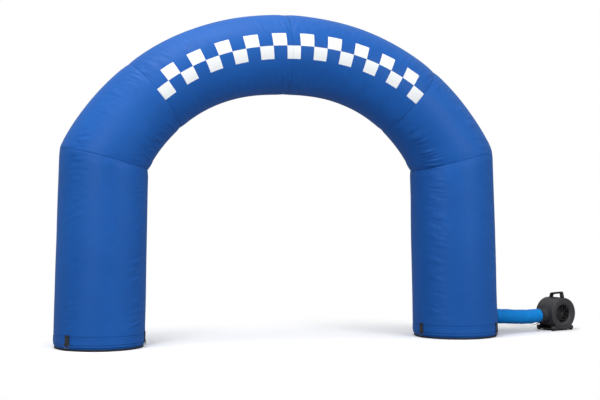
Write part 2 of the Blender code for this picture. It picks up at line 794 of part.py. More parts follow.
def make_handle():
    """The carrying handle along the drum's top: a bar that rises to the front, on two legs."""
    half = HANDLE_SPAN / 2
    top = DRUM_HEIGHT + DRUM_RADIUS
    low = top - HANDLE_SINK
    front_high, back_high = top + HANDLE_FRONT_RISE, top + HANDLE_BACK_RISE
    edge = half - HANDLE_CORNER - HANDLE_LEAN
    outline = [(-half, low), (half, low)]
    end = 180 - HANDLE_SWEEP
    outline += arc((edge, back_high - HANDLE_CORNER), HANDLE_CORNER, 0, HANDLE_SWEEP, 4)
    outline += arc((-edge, front_high - HANDLE_CORNER), HANDLE_CORNER, end, 180, 4)
    inner = half - HANDLE_LEAN - HANDLE_LEG
    fillet, inset, gap_low = HANDLE_FILLET, HANDLE_FILLET_INSET, top + HANDLE_FOOT
    gap = [(-inner - fillet, gap_low), (inner + fillet, gap_low)]
    gap += arc((inner - inset, back_high - HANDLE_BAR - fillet), fillet, 0, HANDLE_SWEEP, 2)
    gap += arc((-inner + inset, front_high - HANDLE_BAR - inset), fillet, end, 180, 2)
    # The outline's X runs along the drum to its back, and its Y is up.
    place = Matrix.Translation((0, -HANDLE_SHIFT, 0)) @ Matrix.Rotation(math.pi / 2, 4, "Z")
    upright = place @ Matrix.Rotation(math.pi / 2, 4, "X")
    handle = extruded("handle", [outline, gap], HANDLE_WIDTH, "handle_plastic", BLOWER, upright)
    edges = handle.modifiers.new("Edges", "BEVEL")
    edges.width = HANDLE_EDGE
    edges.segments = 2
    edges.limit_method = "ANGLE"
    edges.angle_limit = HANDLE_EDGE_TURN
    boolean(handle, drum_cutter("handle_seat"), "DIFFERENCE")
    return handle


def make_base():
    """The stand: two saddle bars across the drum, joined by a floor plate."""
    base = box(
        "base",
        (PLATE_WIDTH, PLATE_DEPTH, PLATE_THICKNESS),
        (0, 0, FOOT_PAD + PLATE_MIDDLE),
        "housing_plastic",
        BLOWER,
    )
    for end in (-1, 1):
        bar = box(
            f"saddle_{end}",
            (BASE_WIDTH, SADDLE, SADDLE),
            (0, end * (BASE_DEPTH - SADDLE) / 2, FOOT_PAD + SADDLE / 2),
            "housing_plastic",
            BLOWER,
            bevel=SADDLE_EDGE,
        )
        boolean(base, bar, "UNION")
    boolean(base, drum_cutter("base_seat"), "DIFFERENCE")
    return base


def make_feet():
    """Four round rubber feet under the ends of the saddle bars."""
    inset_x, inset_y = BASE_WIDTH / 2 - FOOT_PAD_INSET[0], BASE_DEPTH / 2 - FOOT_PAD_INSET[1]
    radius, top, edge = FOOT_PAD_RADIUS, FOOT_PAD - GAP, FOOT_PAD_EDGE
    profile = [(0, top), (radius, top), (radius, edge), (radius - edge, 0), (0, 0)]
    for across, x in (("left", -inset_x), ("right", inset_x)):
        for depth, y in (("front", -inset_y), ("back", inset_y)):
            place = Matrix.Translation((x, y, 0))
            name = f"foot_{depth}_{across}"
            turned(name, profile, "foot_rubber", BLOWER, place, steps=SMALL_AROUND)


# The gland's section, as radius and height from its tip, and its place on the drum's back.
GLAND_LENGTH = 0.020
GLAND_SECTION = ((0, 0), (0.006, 0), (0.009, 0.004), (0.009, 0.012), (0.013, 0.014))
GLAND_RADIUS = 0.013
GLAND_PLACE = (0.060, -0.145)


def make_cord_gland():
    """The mains cord's gland, low on the drum's back."""
    seat = GLAND_LENGTH - GAP
    profile = [(0, seat), (GLAND_RADIUS, seat), *reversed(GLAND_SECTION)]
    place = DRUM_AXIS @ Matrix.Translation((*GLAND_PLACE, -FRONT - GLAND_LENGTH))
    return turned("cord_gland", profile, "handle_plastic", BLOWER, place, steps=SMALL_AROUND)


# --- sleeve and its cinch strap ---------------------------------------------------------------
def blower_to_arch():
    return Matrix.Translation((BLOWER_X, BLOWER_Y, 0)) @ Matrix.Rotation(BLOWER_TURN, 4, "Z")


def sleeve_line():
    """The sleeve's centreline in the arch's frame: out of the leg, sagging, onto the nozzle."""
    to_arch = blower_to_arch()
    end = to_arch @ Vector((-NOZZLE_REACH + SLEEVE_LAP, 0, NOZZLE_HEIGHT))
    tip = to_arch @ Vector((-NOZZLE_REACH - SLEEVE_CLEAR, 0, NOZZLE_HEIGHT))
    inward = (end - tip).normalized()
    out = Vector((math.cos(INLET_TURN), math.sin(INLET_TURN), -SLEEVE_FALL)).normalized()
    foot = leg_centre(INLET_HEIGHT)
    level = Vector((math.cos(INLET_TURN), math.sin(INLET_TURN), 0))
    start = foot + level * (FOOT_RADIUS - SLEEVE_ROOT)
    reach = (tip - start).length / 3
    handles = (start, start + out * reach, tip - inward * reach, tip)
    line = [bezier(handles, i / SLEEVE_STEPS) for i in range(SLEEVE_STEPS)]
    return line + [tip, tip + inward * SLEEVE_CLEAR, end]


def bezier(handles, t):
    a, b, c, d = handles
    return a * (1 - t) ** 3 + b * 3 * t * (1 - t) ** 2 + c * 3 * t * t * (1 - t) + d * t**3


def path_ring_point(centre, along, radius, angle):
    side = Vector((0, 0, 1)).cross(along).normalized()
    up = along.cross(side)
    return centre + side * (radius * math.cos(angle)) + up * (radius * math.sin(angle))


def tube_along(line, radius, around):
    """An open tube of one radius around a free line, bent from a plain cylinder."""
    bm = bmesh.new()
    last = len(line) - 1
    bmesh.ops.create_cone(bm, cap_ends=False, segments=around, radius1=1, radius2=1, depth=last)
    long_edges = [e for e in bm.edges if abs(e.verts[0].co.z - e.verts[1].co.z) > 0.5]
    bmesh.ops.subdivide_edges(bm, edges=long_edges, cuts=last - 1)
    for vert in bm.verts:
        i = round(vert.co.z + last / 2)
        along = (line[min(i + 1, last)] - line[max(i - 1, 0)]).normalized()
        vert.co = path_ring_point(line[i], along, radius, math.atan2(vert.co.y, vert.co.x))
    return bm


def make_sleeve():
    bm = tube_along(sleeve_line(), SLEEVE_RADIUS, SLEEVE_AROUND)
    sleeve = solidify(object_from_bmesh("sleeve", bm, "sleeve_cloth", ARCH), CLOTH)
    leg_body = tube_surface(leg_rings(CLOTH + 2 * GAP), AROUND)
    bmesh.ops.holes_fill(leg_body, edges=leg_body.edges)
    cutter = object_from_bmesh("leg_body", leg_body, "sleeve_cloth", ARCH, smooth=False)
    boolean(sleeve, cutter, "DIFFERENCE")
    return sleeve


def cut_inlet(leg):
    """Cuts the air inlet through the right leg's cloth, as wide as the sleeve's bore."""
    line = sleeve_line()
    centre = leg_centre(INLET_HEIGHT)
    out = Vector((math.cos(INLET_TURN), math.sin(INLET_TURN), 0))
    bm = bmesh.new()
    radius = SLEEVE_RADIUS - CLOTH
    bmesh.ops.create_cone(
        bm, cap_ends=True, segments=SLEEVE_AROUND, radius1=radius, radius2=radius, depth=INLET_CUT
    )
    level = line[0].z - SLEEVE_FALL * (FOOT_RADIUS - (line[0] - centre).length)
    place = out.to_track_quat("Z", "Y").to_matrix().to_4x4()
    place.translation = Vector((centre.x, centre.y, level)) + out * FOOT_RADIUS
    cutter = object_from_bmesh("inlet_bore", bm, "arch_cloth", ARCH, place, smooth=False)
    boolean(leg, cutter, "DIFFERENCE")


def make_cinch():
    """The webbing strap that ties the sleeve onto the nozzle, with its loose tail below."""
    inner = SLEEVE_RADIUS + GAP
    outer = inner + WEBBING
    # Angle 0 is up, 90 is to the back and 180 is down. The ring stops short of a full turn.
    facet = 360 / SLEEVE_AROUND
    start, end = 180, 180 + 360 - facet
    outline = arc((0, 0), outer, start, end, SLEEVE_AROUND - 1)
    outline += arc((0, 0), inner, end, start, SLEEVE_AROUND - 1)
    shares = [step / CINCH_TAIL_STEPS for step in range(1, CINCH_TAIL_STEPS + 1)]
    tail = [(CINCH_DROP * share * (2 - share), CINCH_TAIL * share) for share in shares]
    outline += [(-inner - drop, back) for drop, back in tail]
    outline += [(-outer - drop, back) for drop, back in reversed(tail)]
    place = blower_to_arch() @ nozzle_place(NOZZLE_REACH - CINCH_INSET)
    return extruded("cinch_strap", [outline], CINCH_WIDTH, "webbing", ARCH, place)


# --- build ------------------------------------------------------------------------------------
clear_scene()
PARTS = make_collection("inflatable_arch")
CUTTERS = make_collection("cutters")
SLOTS = {name: make_material(name) for name in MATERIALS}
ARCH = make_empty("arch_middle", (FOOT_SPACING / 2, 0, 0))
BLOWER = make_empty("blower_place", (BLOWER_X, BLOWER_Y, 0), ARCH, BLOWER_TURN)

for SIDE in (-1, 1):
    LEG = make_leg(SIDE)
    if SIDE > 0:
        cut_inlet(LEG)
    make_shoulder(SIDE)
    make_top(SIDE)
    make_foot_band(SIDE)
    make_pad(SIDE)
    for KEY in STRAP_FACETS:
        make_strap(SIDE, KEY)
        make_ring(SIDE, KEY)

make_sleeve()
make_cinch()
make_housing()
make_intake_ring()
make_grille()
make_impeller()
make_motor()
make_handle()
make_base()
make_feet()
make_cord_gland()
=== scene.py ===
# %% [markdown]
# # An inflatable event arch and its blower
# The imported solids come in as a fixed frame. Each step below dresses some of them: cloth panels
# that pucker at their seams, webbing and rings at the feet, an air sleeve and a moulded blower.
# Bodies, joints and collision stay in the frame. Only what the eye sees is made here.

# %% Load the frame
import math

import bmesh
import bpy
from mathutils import Matrix, Vector, noise


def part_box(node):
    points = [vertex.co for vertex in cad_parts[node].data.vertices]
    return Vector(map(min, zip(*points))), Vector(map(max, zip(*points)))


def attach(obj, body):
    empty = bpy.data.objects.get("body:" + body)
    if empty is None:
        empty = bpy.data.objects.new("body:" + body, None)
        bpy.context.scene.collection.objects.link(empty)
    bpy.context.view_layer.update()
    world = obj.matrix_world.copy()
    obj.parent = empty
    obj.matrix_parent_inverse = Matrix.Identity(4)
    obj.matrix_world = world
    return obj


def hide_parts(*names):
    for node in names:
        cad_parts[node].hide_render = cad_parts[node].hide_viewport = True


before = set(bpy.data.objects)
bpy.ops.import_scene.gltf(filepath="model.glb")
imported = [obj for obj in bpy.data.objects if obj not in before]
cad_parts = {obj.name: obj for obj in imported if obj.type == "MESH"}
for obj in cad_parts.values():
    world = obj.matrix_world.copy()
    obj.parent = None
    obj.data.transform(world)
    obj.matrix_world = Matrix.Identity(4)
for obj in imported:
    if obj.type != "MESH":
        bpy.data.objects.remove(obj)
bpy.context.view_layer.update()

# %% [markdown]
# ## Sizes
# The driving sizes of the arch, in metres. The middle of the arch lies half-way between its two
# ground pads, so its place is read from the frame, and every cloth panel is worked out around it.

# %% Sizes of the arch
ARCH, WHEEL = "arch", "impeller"
LEFT_PAD, RIGHT_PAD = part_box("left_pad"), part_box("right_pad")
FOOT_SPACING = (RIGHT_PAD[0].x + RIGHT_PAD[1].x - LEFT_PAD[0].x - LEFT_PAD[1].x) / 2
MIDDLE = Vector((FOOT_SPACING / 2, 0, 0))
FOOT_RADIUS = 0.540
SHOULDER_RADIUS = 0.526
HAUNCH_RADIUS = 0.484
CROWN_RADIUS = 0.489
ARCH_HEIGHT = 4.0
CURVE_HALF_WIDTH = 2.56
CURVE_RISE = 2.89
CURVE_SQUARENESS = 2.19
CURVE_BASE = ARCH_HEIGHT - CROWN_RADIUS - CURVE_RISE
SHOULDER_TURN = math.radians(31.75)
HAUNCH_TURN = math.radians(53.0)
CLOTH = 0.0009
GAP = 0.0003
SIDES = ((-1, "left"), (1, "right"))
print("feet", round(FOOT_SPACING, 3), "m apart")

# %% [markdown]
# ## Camera
# The arch is seen from a little left of its middle, from far off with a long lens, so its legs
# stay almost parallel. The camera's place is given from the middle of the arch.

# %% Camera
CAMERA_PLACE = MIDDLE + Vector((-4.533, -16.597, 1.966))
CAMERA_YAW = math.radians(15.948)
CAMERA_PITCH = math.radians(-0.78)
LENS, SENSOR = 84.0, 36.0
VIEW_REACH = 200.0


def add_to_scene(obj):
    bpy.context.scene.collection.objects.link(obj)
    return obj


def make_camera():
    data = bpy.data.cameras.new("camera")
    data.lens, data.sensor_width, data.clip_end = LENS, SENSOR, VIEW_REACH
    camera = add_to_scene(bpy.data.objects.new("camera", data))
    camera.location = CAMERA_PLACE
    camera.rotation_euler = (math.pi / 2 + CAMERA_PITCH, 0, -CAMERA_YAW)
    bpy.context.scene.camera = camera


make_camera()
print("camera", round((CAMERA_PLACE - MIDDLE).length, 2), "m from the middle")

# %% [markdown]
# ## Small helpers for shader nodes
# Materials here are wired by hand. These few functions keep each wiring to one readable line: a
# value may be a plain number or another node's socket, and the helper deals with both.

# %% Node helpers
def plug(tree, source, target):
    """Joins two sockets, or sets the target to a plain value."""
    if isinstance(source, bpy.types.NodeSocket):
        tree.links.new(source, target)
    else:
        target.default_value = source


def math_node(tree, operation, first, second=0.0, third=0.0):
    node = tree.nodes.new("ShaderNodeMath")
    node.operation = operation
    for value, socket in zip((first, second, third), node.inputs):
        plug(tree, value, socket)
    return node.outputs[0]


def vector_node(tree, operation, first, second):
    node = tree.nodes.new("ShaderNodeVectorMath")
    node.operation = operation
    plug(tree, first, node.inputs[0])
    plug(tree, second, node.inputs[1])
    return node.outputs


def split(tree, vector):
    node = tree.nodes.new("ShaderNodeSeparateXYZ")
    plug(tree, vector, node.inputs[0])
    return node.outputs


def remap(tree, value, low, high, to_low, to_high):
    node = tree.nodes.new("ShaderNodeMapRange")
    for number, socket in zip((value, low, high, to_low, to_high), node.inputs):
        plug(tree, number, socket)
    return node.outputs[0]


def mix_colours(tree, share, first, second):
    node = tree.nodes.new("ShaderNodeMix")
    node.data_type = "RGBA"
    plug(tree, share, node.inputs["Factor"])
    plug(tree, first, node.inputs[6])
    plug(tree, second, node.inputs[7])
    return node.outputs[2]


def noise_node(tree, vector, scale, detail=2.0, roughness=0.5):
    node = tree.nodes.new("ShaderNodeTexNoise")
    plug(tree, vector, node.inputs["Vector"])
    node.inputs["Scale"].default_value = scale
    node.inputs["Detail"].default_value = detail
    node.inputs["Roughness"].default_value = roughness
    return node.outputs["Fac"]


# %% [markdown]
# ## Floor and light
# The set is a plain white studio. A floor of one tone would turn grey far from the lamps and show
# a horizon, as real studios know: they sweep the paper up into the wall. Here the floor takes
# shadows near the arch and turns, further out, into the same even white as the backdrop.

# %% Floor
FLOOR_SIZE = 400.0
FLOOR_BOUNCE = (0.27, 0.28, 0.31, 1)
FLOOR_SEEN = (1.10, 1.10, 1.11, 1)
SEEN_WHITE = (1.0, 1.0, 1.0, 1)
WHITE_NEAR, WHITE_FAR = 1.35, 3.0
ARCH_LINE = (0.34, 1.0, 1.0)


def camera_share(tree):
    return tree.nodes.new("ShaderNodeLightPath").outputs["Is Camera Ray"]


def make_floor():
    bm = bmesh.new()
    bmesh.ops.create_grid(bm, x_segments=1, y_segments=1, size=FLOOR_SIZE / 2)
    bmesh.ops.translate(bm, vec=MIDDLE, verts=bm.verts)
    mesh = bpy.data.meshes.new("floor")
    bm.to_mesh(mesh)
    bm.free()
    material = bpy.data.materials.new("studio_floor")
    material.use_nodes = True
    tree = material.node_tree
    tree.nodes.remove(tree.nodes["Principled BSDF"])
    paper = tree.nodes.new("ShaderNodeBsdfDiffuse")
    seen = camera_share(tree)
    plug(tree, mix_colours(tree, seen, FLOOR_BOUNCE, FLOOR_SEEN), paper.inputs["Color"])
    glow = tree.nodes.new("ShaderNodeEmission")
    place = tree.nodes.new("ShaderNodeTexCoord").outputs["Object"]
    offset = vector_node(tree, "SUBTRACT", place, MIDDLE)["Vector"]
    squeezed = vector_node(tree, "MULTIPLY", offset, ARCH_LINE)["Vector"]
    away = vector_node(tree, "LENGTH", squeezed, ARCH_LINE)["Value"]
    share = remap(tree, away, WHITE_NEAR, WHITE_FAR, 0.0, 1.0)
    blend = tree.nodes.new("ShaderNodeMixShader")
    plug(tree, math_node(tree, "MULTIPLY", share, seen), blend.inputs[0])
    plug(tree, paper.outputs[0], blend.inputs[1])
    plug(tree, glow.outputs[0], blend.inputs[2])
    plug(tree, blend.outputs[0], tree.nodes["Material Output"].inputs["Surface"])
    mesh.materials.append(material)
    add_to_scene(bpy.data.objects.new("floor", mesh))


make_floor()

# %% Sky and lamps
SKY_TOP, SKY_LOW = 0.70, 0.22
LAMPS = {
    # name: (place, aim, width, power)
    "top": ((-2.2, -1.6, 10.5), (0, 0, 3), 7.0, 580),
    "left": ((-7.0, -8.0, 5.0), (-2.3, 0, 1.5), 4.5, 415),
    "right": ((6.0, -8.5, 5.0), (2.3, 0, 1.5), 4.5, 390),
}


def make_lamp(name, place, aim, width, power):
    data = bpy.data.lights.new(name, "AREA")
    data.shape, data.size, data.energy = "DISK", width, power
    lamp = add_to_scene(bpy.data.objects.new(name, data))
    lamp.location = MIDDLE + Vector(place)
    lamp.rotation_euler = (Vector(aim) - Vector(place)).to_track_quat("-Z", "Y").to_euler()


def make_sky():
    """A white backdrop to the eye, and a dome that is brightest overhead to light by."""
    world = bpy.data.worlds.new("studio")
    world.use_nodes = True
    tree = world.node_tree
    height = split(tree, tree.nodes.new("ShaderNodeTexCoord").outputs["Generated"])[2]
    dome = remap(tree, height, -0.1, 1.0, SKY_LOW, SKY_TOP)
    grey = tree.nodes.new("ShaderNodeCombineColor")
    for channel in range(3):
        plug(tree, dome, grey.inputs[channel])
    seen = mix_colours(tree, camera_share(tree), grey.outputs[0], SEEN_WHITE)
    plug(tree, seen, tree.nodes["Background"].inputs["Color"])
    bpy.context.scene.world = world


make_sky()
for name, facts in LAMPS.items():
    make_lamp(name, *facts)
bpy.context.scene.view_settings.view_transform = "Standard"
print(len(LAMPS), "lamps and a dome")

# %% [markdown]
# ## Shared shader groups
# Coated nylon, webbing, vinyl and moulded plastic all need fine relief and uneven tone. Each such
# effect is a node group with named sockets, built once and placed in every material with its own
# values. A group gives out only masks, values and colours. The shader stays in the material.

# %% Group helpers
FLOAT, COLOR, VECTOR = "NodeSocketFloat", "NodeSocketColor", "NodeSocketVector"


def new_group(name, inputs, outputs):
    group = bpy.data.node_groups.new(name, "ShaderNodeTree")
    for label, kind, default in inputs:
        socket = group.interface.new_socket(name=label, in_out="INPUT", socket_type=kind)
        if default is not None:
            socket.default_value = default
    for label, kind in outputs:
        group.interface.new_socket(name=label, in_out="OUTPUT", socket_type=kind)
    start = group.nodes.new("NodeGroupInput")
    end = group.nodes.new("NodeGroupOutput")
    return group, start.outputs, end.inputs


# %% Weave group
def make_weave_group():
    """Plain weave: warp and weft threads that pass over and under each other."""
    inputs = [("Vector", VECTOR, None), ("Threads", FLOAT, 900.0)]
    group, given, result = new_group("weave", inputs, [("Height", FLOAT)])
    across, along, _ = split(group, given["Vector"])
    waves = []
    for way in (across, along):
        phase = math_node(group, "MULTIPLY", way, given["Threads"])
        waves.append(math_node(group, "SINE", math_node(group, "MULTIPLY", phase, math.tau)))
    product = math_node(group, "MULTIPLY", *waves)
    plug(group, math_node(group, "MULTIPLY_ADD", product, 0.5, 0.5), result["Height"])
    return group


# %% Tone group
def make_tone_group():
    """Slow changes of tone: handling marks, dust and uneven dye."""
    inputs = [
        ("Vector", VECTOR, None),
        ("Light", COLOR, (1, 1, 1, 1)),
        ("Dark", COLOR, (0, 0, 0, 1)),
    ]
    group, given, result = new_group("tone", inputs, [("Color", COLOR), ("Mask", FLOAT)])
    broad = noise_node(group, given["Vector"], 1.3, 3.0)
    fine = noise_node(group, given["Vector"], 14.0, 4.0, 0.6)
    both = math_node(group, "MULTIPLY_ADD", fine, 0.35, math_node(group, "MULTIPLY", broad, 0.65))
    mask = remap(group, both, 0.35, 0.65, 0.0, 1.0)
    plug(group, mix_colours(group, mask, given["Dark"], given["Light"]), result["Color"])
    plug(group, mask, result["Mask"])
    return group


# %% Edge wear group
def make_wear_group():
    """Where a hard edge is rubbed pale: the rounded normal leaves the true one, in patches."""
    inputs = [("Vector", VECTOR, None), ("Width", FLOAT, 0.002)]
    group, given, result = new_group("edge_wear", inputs, [("Mask", FLOAT)])
    rounded = group.nodes.new("ShaderNodeBevel")
    rounded.samples = 4
    plug(group, given["Width"], rounded.inputs["Radius"])
    true = group.nodes.new("ShaderNodeNewGeometry").outputs["Normal"]
    same = vector_node(group, "DOT_PRODUCT", rounded.outputs[0], true)["Value"]
    edge = remap(group, same, 0.99, 0.85, 0.0, 1.0)
    patches = remap(group, noise_node(group, given["Vector"], 55.0, 5.0, 0.65), 0.42, 0.62, 0, 1)
    plug(group, math_node(group, "MULTIPLY", edge, patches), result["Mask"])
    return group


# %% Moulded grain group
def make_grain_group():
    """The fine pebbled texture that a mould leaves on plastic, rubber and coated cloth."""
    inputs = [("Vector", VECTOR, None), ("Scale", FLOAT, 900.0)]
    group, given, result = new_group("moulded_grain", inputs, [("Height", FLOAT)])
    cells = group.nodes.new("ShaderNodeTexVoronoi")
    plug(group, given["Vector"], cells.inputs["Vector"])
    plug(group, given["Scale"], cells.inputs["Scale"])
    speckle = noise_node(group, given["Vector"], 300.0, 3.0, 0.6)
    total = math_node(group, "MULTIPLY_ADD", speckle, 0.5, cells.outputs["Distance"])
    plug(group, total, result["Height"])
    return group


WEAVE, TONE = make_weave_group(), make_tone_group()
WEAR, GRAIN = make_wear_group(), make_grain_group()
print("shader groups:", [group.name for group in bpy.data.node_groups])


# %% Material helpers
def new_material(name, colour, roughness, metallic=0.0):
    material = bpy.data.materials.new(name)
    material.use_nodes = True
    shader = material.node_tree.nodes["Principled BSDF"]
    shader.inputs["Base Color"].default_value = colour
    shader.inputs["Roughness"].default_value = roughness
    shader.inputs["Metallic"].default_value = metallic
    return material, material.node_tree, shader


def coordinates(tree, uv_map=None):
    if uv_map:
        node = tree.nodes.new("ShaderNodeUVMap")
        node.uv_map = uv_map
        return node.outputs["UV"]
    return tree.nodes.new("ShaderNodeTexCoord").outputs["Object"]


def group_node(tree, group, **values):
    node = tree.nodes.new("ShaderNodeGroup")
    node.node_tree = group
    for label, value in values.items():
        plug(tree, value, node.inputs[label])
    return node.outputs


def add_bump(tree, shader, height, strength, distance):
    node = tree.nodes.new("ShaderNodeBump")
    node.inputs["Strength"].default_value = strength
    node.inputs["Distance"].default_value = distance
    plug(tree, height, node.inputs["Height"])
    plug(tree, node.outputs["Normal"], shader.inputs["Normal"])


# %% [markdown]
# ## Coated nylon
# The arch is cut from light nylon with a coating inside that holds the air. Outside it has a soft
# sheen. The pattern coordinates are metres of cloth: U runs along the tube and V around it, so the
# weave and the stitching follow every bend. A second map gives the distance to the panel's ends
# and to its long seams, which is where the needle goes and where the cloth creases most.

# %% Cloth maps and stitches
CLOTH_UV = "cloth"
SEAM_UV = "seams"
STITCH_PITCH = 0.008
STITCH_WIDTH = 0.0024
STITCH_INSET = 0.012
STITCH_SHARE = 0.70


def stitch_row(tree, across, along, line):
    """One row of stitches: dashes along the seam, at a distance across from it."""
    dash = math_node(tree, "FRACT", math_node(tree, "DIVIDE", along, STITCH_PITCH))
    dash = math_node(tree, "LESS_THAN", dash, STITCH_SHARE)
    offset = math_node(tree, "ABSOLUTE", math_node(tree, "SUBTRACT", across, line))
    band = math_node(tree, "LESS_THAN", offset, STITCH_WIDTH / 2)
    return math_node(tree, "MULTIPLY", band, dash)


# %% Cloth material
WEAVE_THREADS = 700.0
CLOTH_ROUGHNESS = 0.50
CREASE_SCALE = (26.0, 7.0, 1.0)
CREASE_NEAR, CREASE_FAR, CREASE_LEFT = 0.02, 0.16, 0.12
CREASE_RELIEF, WEAVE_RELIEF, STITCH_RELIEF = 3.0, 0.1, 0.5
CLOTH_BUMP, CLOTH_DEPTH = 0.5, 0.0011
ROUGH_SPREAD = 0.08
SHEEN_ROUGHNESS, SHEEN_TINT = 0.45, (0.45, 0.66, 1.0, 1)
THREAD_SHARE = 0.6
PRINT_WHITE = (0.83, 0.85, 0.86, 1)


def cloth_material(name, light, dark, sheen, gloss, print_and_shade_mask=None, print_and_shade_colour=PRINT_WHITE):
    """Woven cloth. A mask lays a colour over it: print on the top, painted shade on the sleeve."""
    material, tree, shader = new_material(name, light, CLOTH_ROUGHNESS)
    uv = coordinates(tree, CLOTH_UV)
    along, around, _ = split(tree, uv)
    to_end, to_gore, _ = split(tree, coordinates(tree, SEAM_UV))
    tone = group_node(tree, TONE, Vector=coordinates(tree), Light=light, Dark=dark)
    rows = math_node(
        tree,
        "MAXIMUM",
        stitch_row(tree, to_end, around, STITCH_INSET),
        stitch_row(tree, to_gore, along, STITCH_INSET),
    )
    thread = math_node(tree, "MULTIPLY", rows, THREAD_SHARE)
    colour = mix_colours(tree, thread, tone["Color"], dark)
    if print_and_shade_mask:
        colour = mix_colours(tree, print_and_shade_mask(tree, uv), colour, print_and_shade_colour)
    plug(tree, colour, shader.inputs["Base Color"])
    woven = group_node(tree, WEAVE, Vector=uv, Threads=WEAVE_THREADS)["Height"]
    creases = noise_node(tree, vector_node(tree, "MULTIPLY", uv, CREASE_SCALE)[0], 1.0, 4.0)
    near = remap(tree, to_gore, CREASE_NEAR, CREASE_FAR, 1.0, CREASE_LEFT)
    creases = math_node(tree, "MULTIPLY", creases, near)
    weave = math_node(tree, "MULTIPLY", woven, WEAVE_RELIEF)
    height = math_node(tree, "MULTIPLY_ADD", creases, CREASE_RELIEF, weave)
    height = math_node(tree, "ADD", height, math_node(tree, "MULTIPLY", rows, STITCH_RELIEF))
    add_bump(tree, shader, height, CLOTH_BUMP, CLOTH_DEPTH)
    rough = math_node(tree, "MULTIPLY_ADD", tone["Mask"], ROUGH_SPREAD, CLOTH_ROUGHNESS)
    plug(tree, rough, shader.inputs["Roughness"])
    shader.inputs["Sheen Weight"].default_value = sheen
    shader.inputs["Sheen Roughness"].default_value = SHEEN_ROUGHNESS
    shader.inputs["Sheen Tint"].default_value = SHEEN_TINT
    shader.inputs["Specular IOR Level"].default_value = gloss
    return material


# %% [markdown]
# ## A printed band of chequers
# An arch like this is printed across its front. Here it is a plain racing chequer: two rows of
# white squares that follow the tube. It is a mask worked out from the cloth's own coordinates, and
# it starts with half a square at the crown seam, so the two halves meet in one whole square.

# %% Chequer mask
CHEQUER = 0.165
CHEQUER_MIDDLE = 0.075
CHEQUER_COLUMNS = 10.5


def chequer_mask(tree, uv):
    """1 on the white squares. U counts from the crown seam, and V from the front of the tube."""
    along, around, _ = split(tree, uv)
    column = math_node(tree, "MULTIPLY_ADD", along, 1 / CHEQUER, 0.5)
    row = math_node(tree, "DIVIDE", math_node(tree, "SUBTRACT", around, CHEQUER_MIDDLE), CHEQUER)
    parity = math_node(tree, "ADD", math_node(tree, "FLOOR", column), math_node(tree, "FLOOR", row))
    odd = math_node(tree, "FRACT", math_node(tree, "MULTIPLY", parity, 0.5))
    chequer = math_node(tree, "GREATER_THAN", odd, 0.25)
    inside_rows = math_node(tree, "LESS_THAN", math_node(tree, "ABSOLUTE", row), 1.0)
    inside_columns = math_node(tree, "LESS_THAN", column, CHEQUER_COLUMNS + 0.5)
    inside = math_node(tree, "MULTIPLY", inside_rows, inside_columns)
    return math_node(tree, "MULTIPLY", chequer, inside)


# %% The three cloths
# Width of the band of painted shade at each end of the sleeve.
END_SHADE_WIDTH = 0.036
BLUE = ((0.0085, 0.107, 0.425, 1), (0.0065, 0.088, 0.365, 1), 0.11, 0.20)
SLEEVE_BLUE = ((0.007, 0.270, 0.780, 1), (0.006, 0.215, 0.640, 1), 0.03, 0.08)
# Painted shade: a darker blue laid on the sleeve's ends, where it meets the leg and the nozzle.
SLEEVE_END_SHADE = (0.006, 0.100, 0.340, 1)


def end_shade_mask(tree, _):
    """1 in a band at each end of the sleeve, where the cloth is painted darker as shade."""
    to_end = split(tree, coordinates(tree, SEAM_UV))[0]
    return math_node(tree, "LESS_THAN", to_end, END_SHADE_WIDTH)


ARCH_CLOTH = cloth_material("arch_cloth", *BLUE)
TOP_CLOTH = cloth_material("printed_cloth", *BLUE, chequer_mask)
# The sleeve's cloth takes painted shade at both of its ends.
SLEEVE_CLOTH = cloth_material("sleeve_cloth", *SLEEVE_BLUE, end_shade_mask, SLEEVE_END_SHADE)
print("cloths:", [cloth.name for cloth in (ARCH_CLOTH, TOP_CLOTH, SLEEVE_CLOTH)])

# %% [markdown]
# ## Webbing, vinyl, rubber and steel
# Webbing is a thick narrow weave: its threads show as ribs across the strap, and a square of
# stitches with a cross in it holds the fold. The pads are coated cloth with a leathery grain. The
# rings are zinc plated wire, bright with faint clouds where hands and pegs have dulled it.

# %% Webbing material
STRAP_UV = "strap"
RIB_PITCH = 0.0022
YARN_PITCH = 0.0016
BOX_HALF_WIDTH, BOX_LOW, BOX_HIGH = 0.018, 0.030, 0.072
BOX_DASH, BOX_DASH_SHARE = 0.0045, 0.72
WEB_LIGHT, WEB_DARK = (0.024, 0.024, 0.026, 1), (0.010, 0.010, 0.012, 1)
WEB_THREAD = (0.10, 0.10, 0.105, 1)


def box_stitches(tree, across, along):
    """A sewn square with a cross in it, on a strap's own coordinates."""
    middle, half = (BOX_LOW + BOX_HIGH) / 2, (BOX_HIGH - BOX_LOW) / 2
    side = math_node(tree, "DIVIDE", math_node(tree, "ABSOLUTE", across), BOX_HALF_WIDTH)
    rise = math_node(tree, "DIVIDE", math_node(tree, "SUBTRACT", along, middle), half)
    rise = math_node(tree, "ABSOLUTE", rise)
    outer = math_node(tree, "MAXIMUM", side, rise)
    frame_line = math_node(tree, "COMPARE", outer, 1.0, 0.07)
    cross = math_node(tree, "COMPARE", side, rise, 0.09)
    inside = math_node(tree, "LESS_THAN", outer, 1.0)
    lines = math_node(tree, "MAXIMUM", frame_line, math_node(tree, "MULTIPLY", cross, inside))
    both = math_node(tree, "ADD", across, along)
    dash = math_node(tree, "FRACT", math_node(tree, "DIVIDE", both, BOX_DASH))
    return math_node(tree, "MULTIPLY", lines, math_node(tree, "LESS_THAN", dash, BOX_DASH_SHARE))


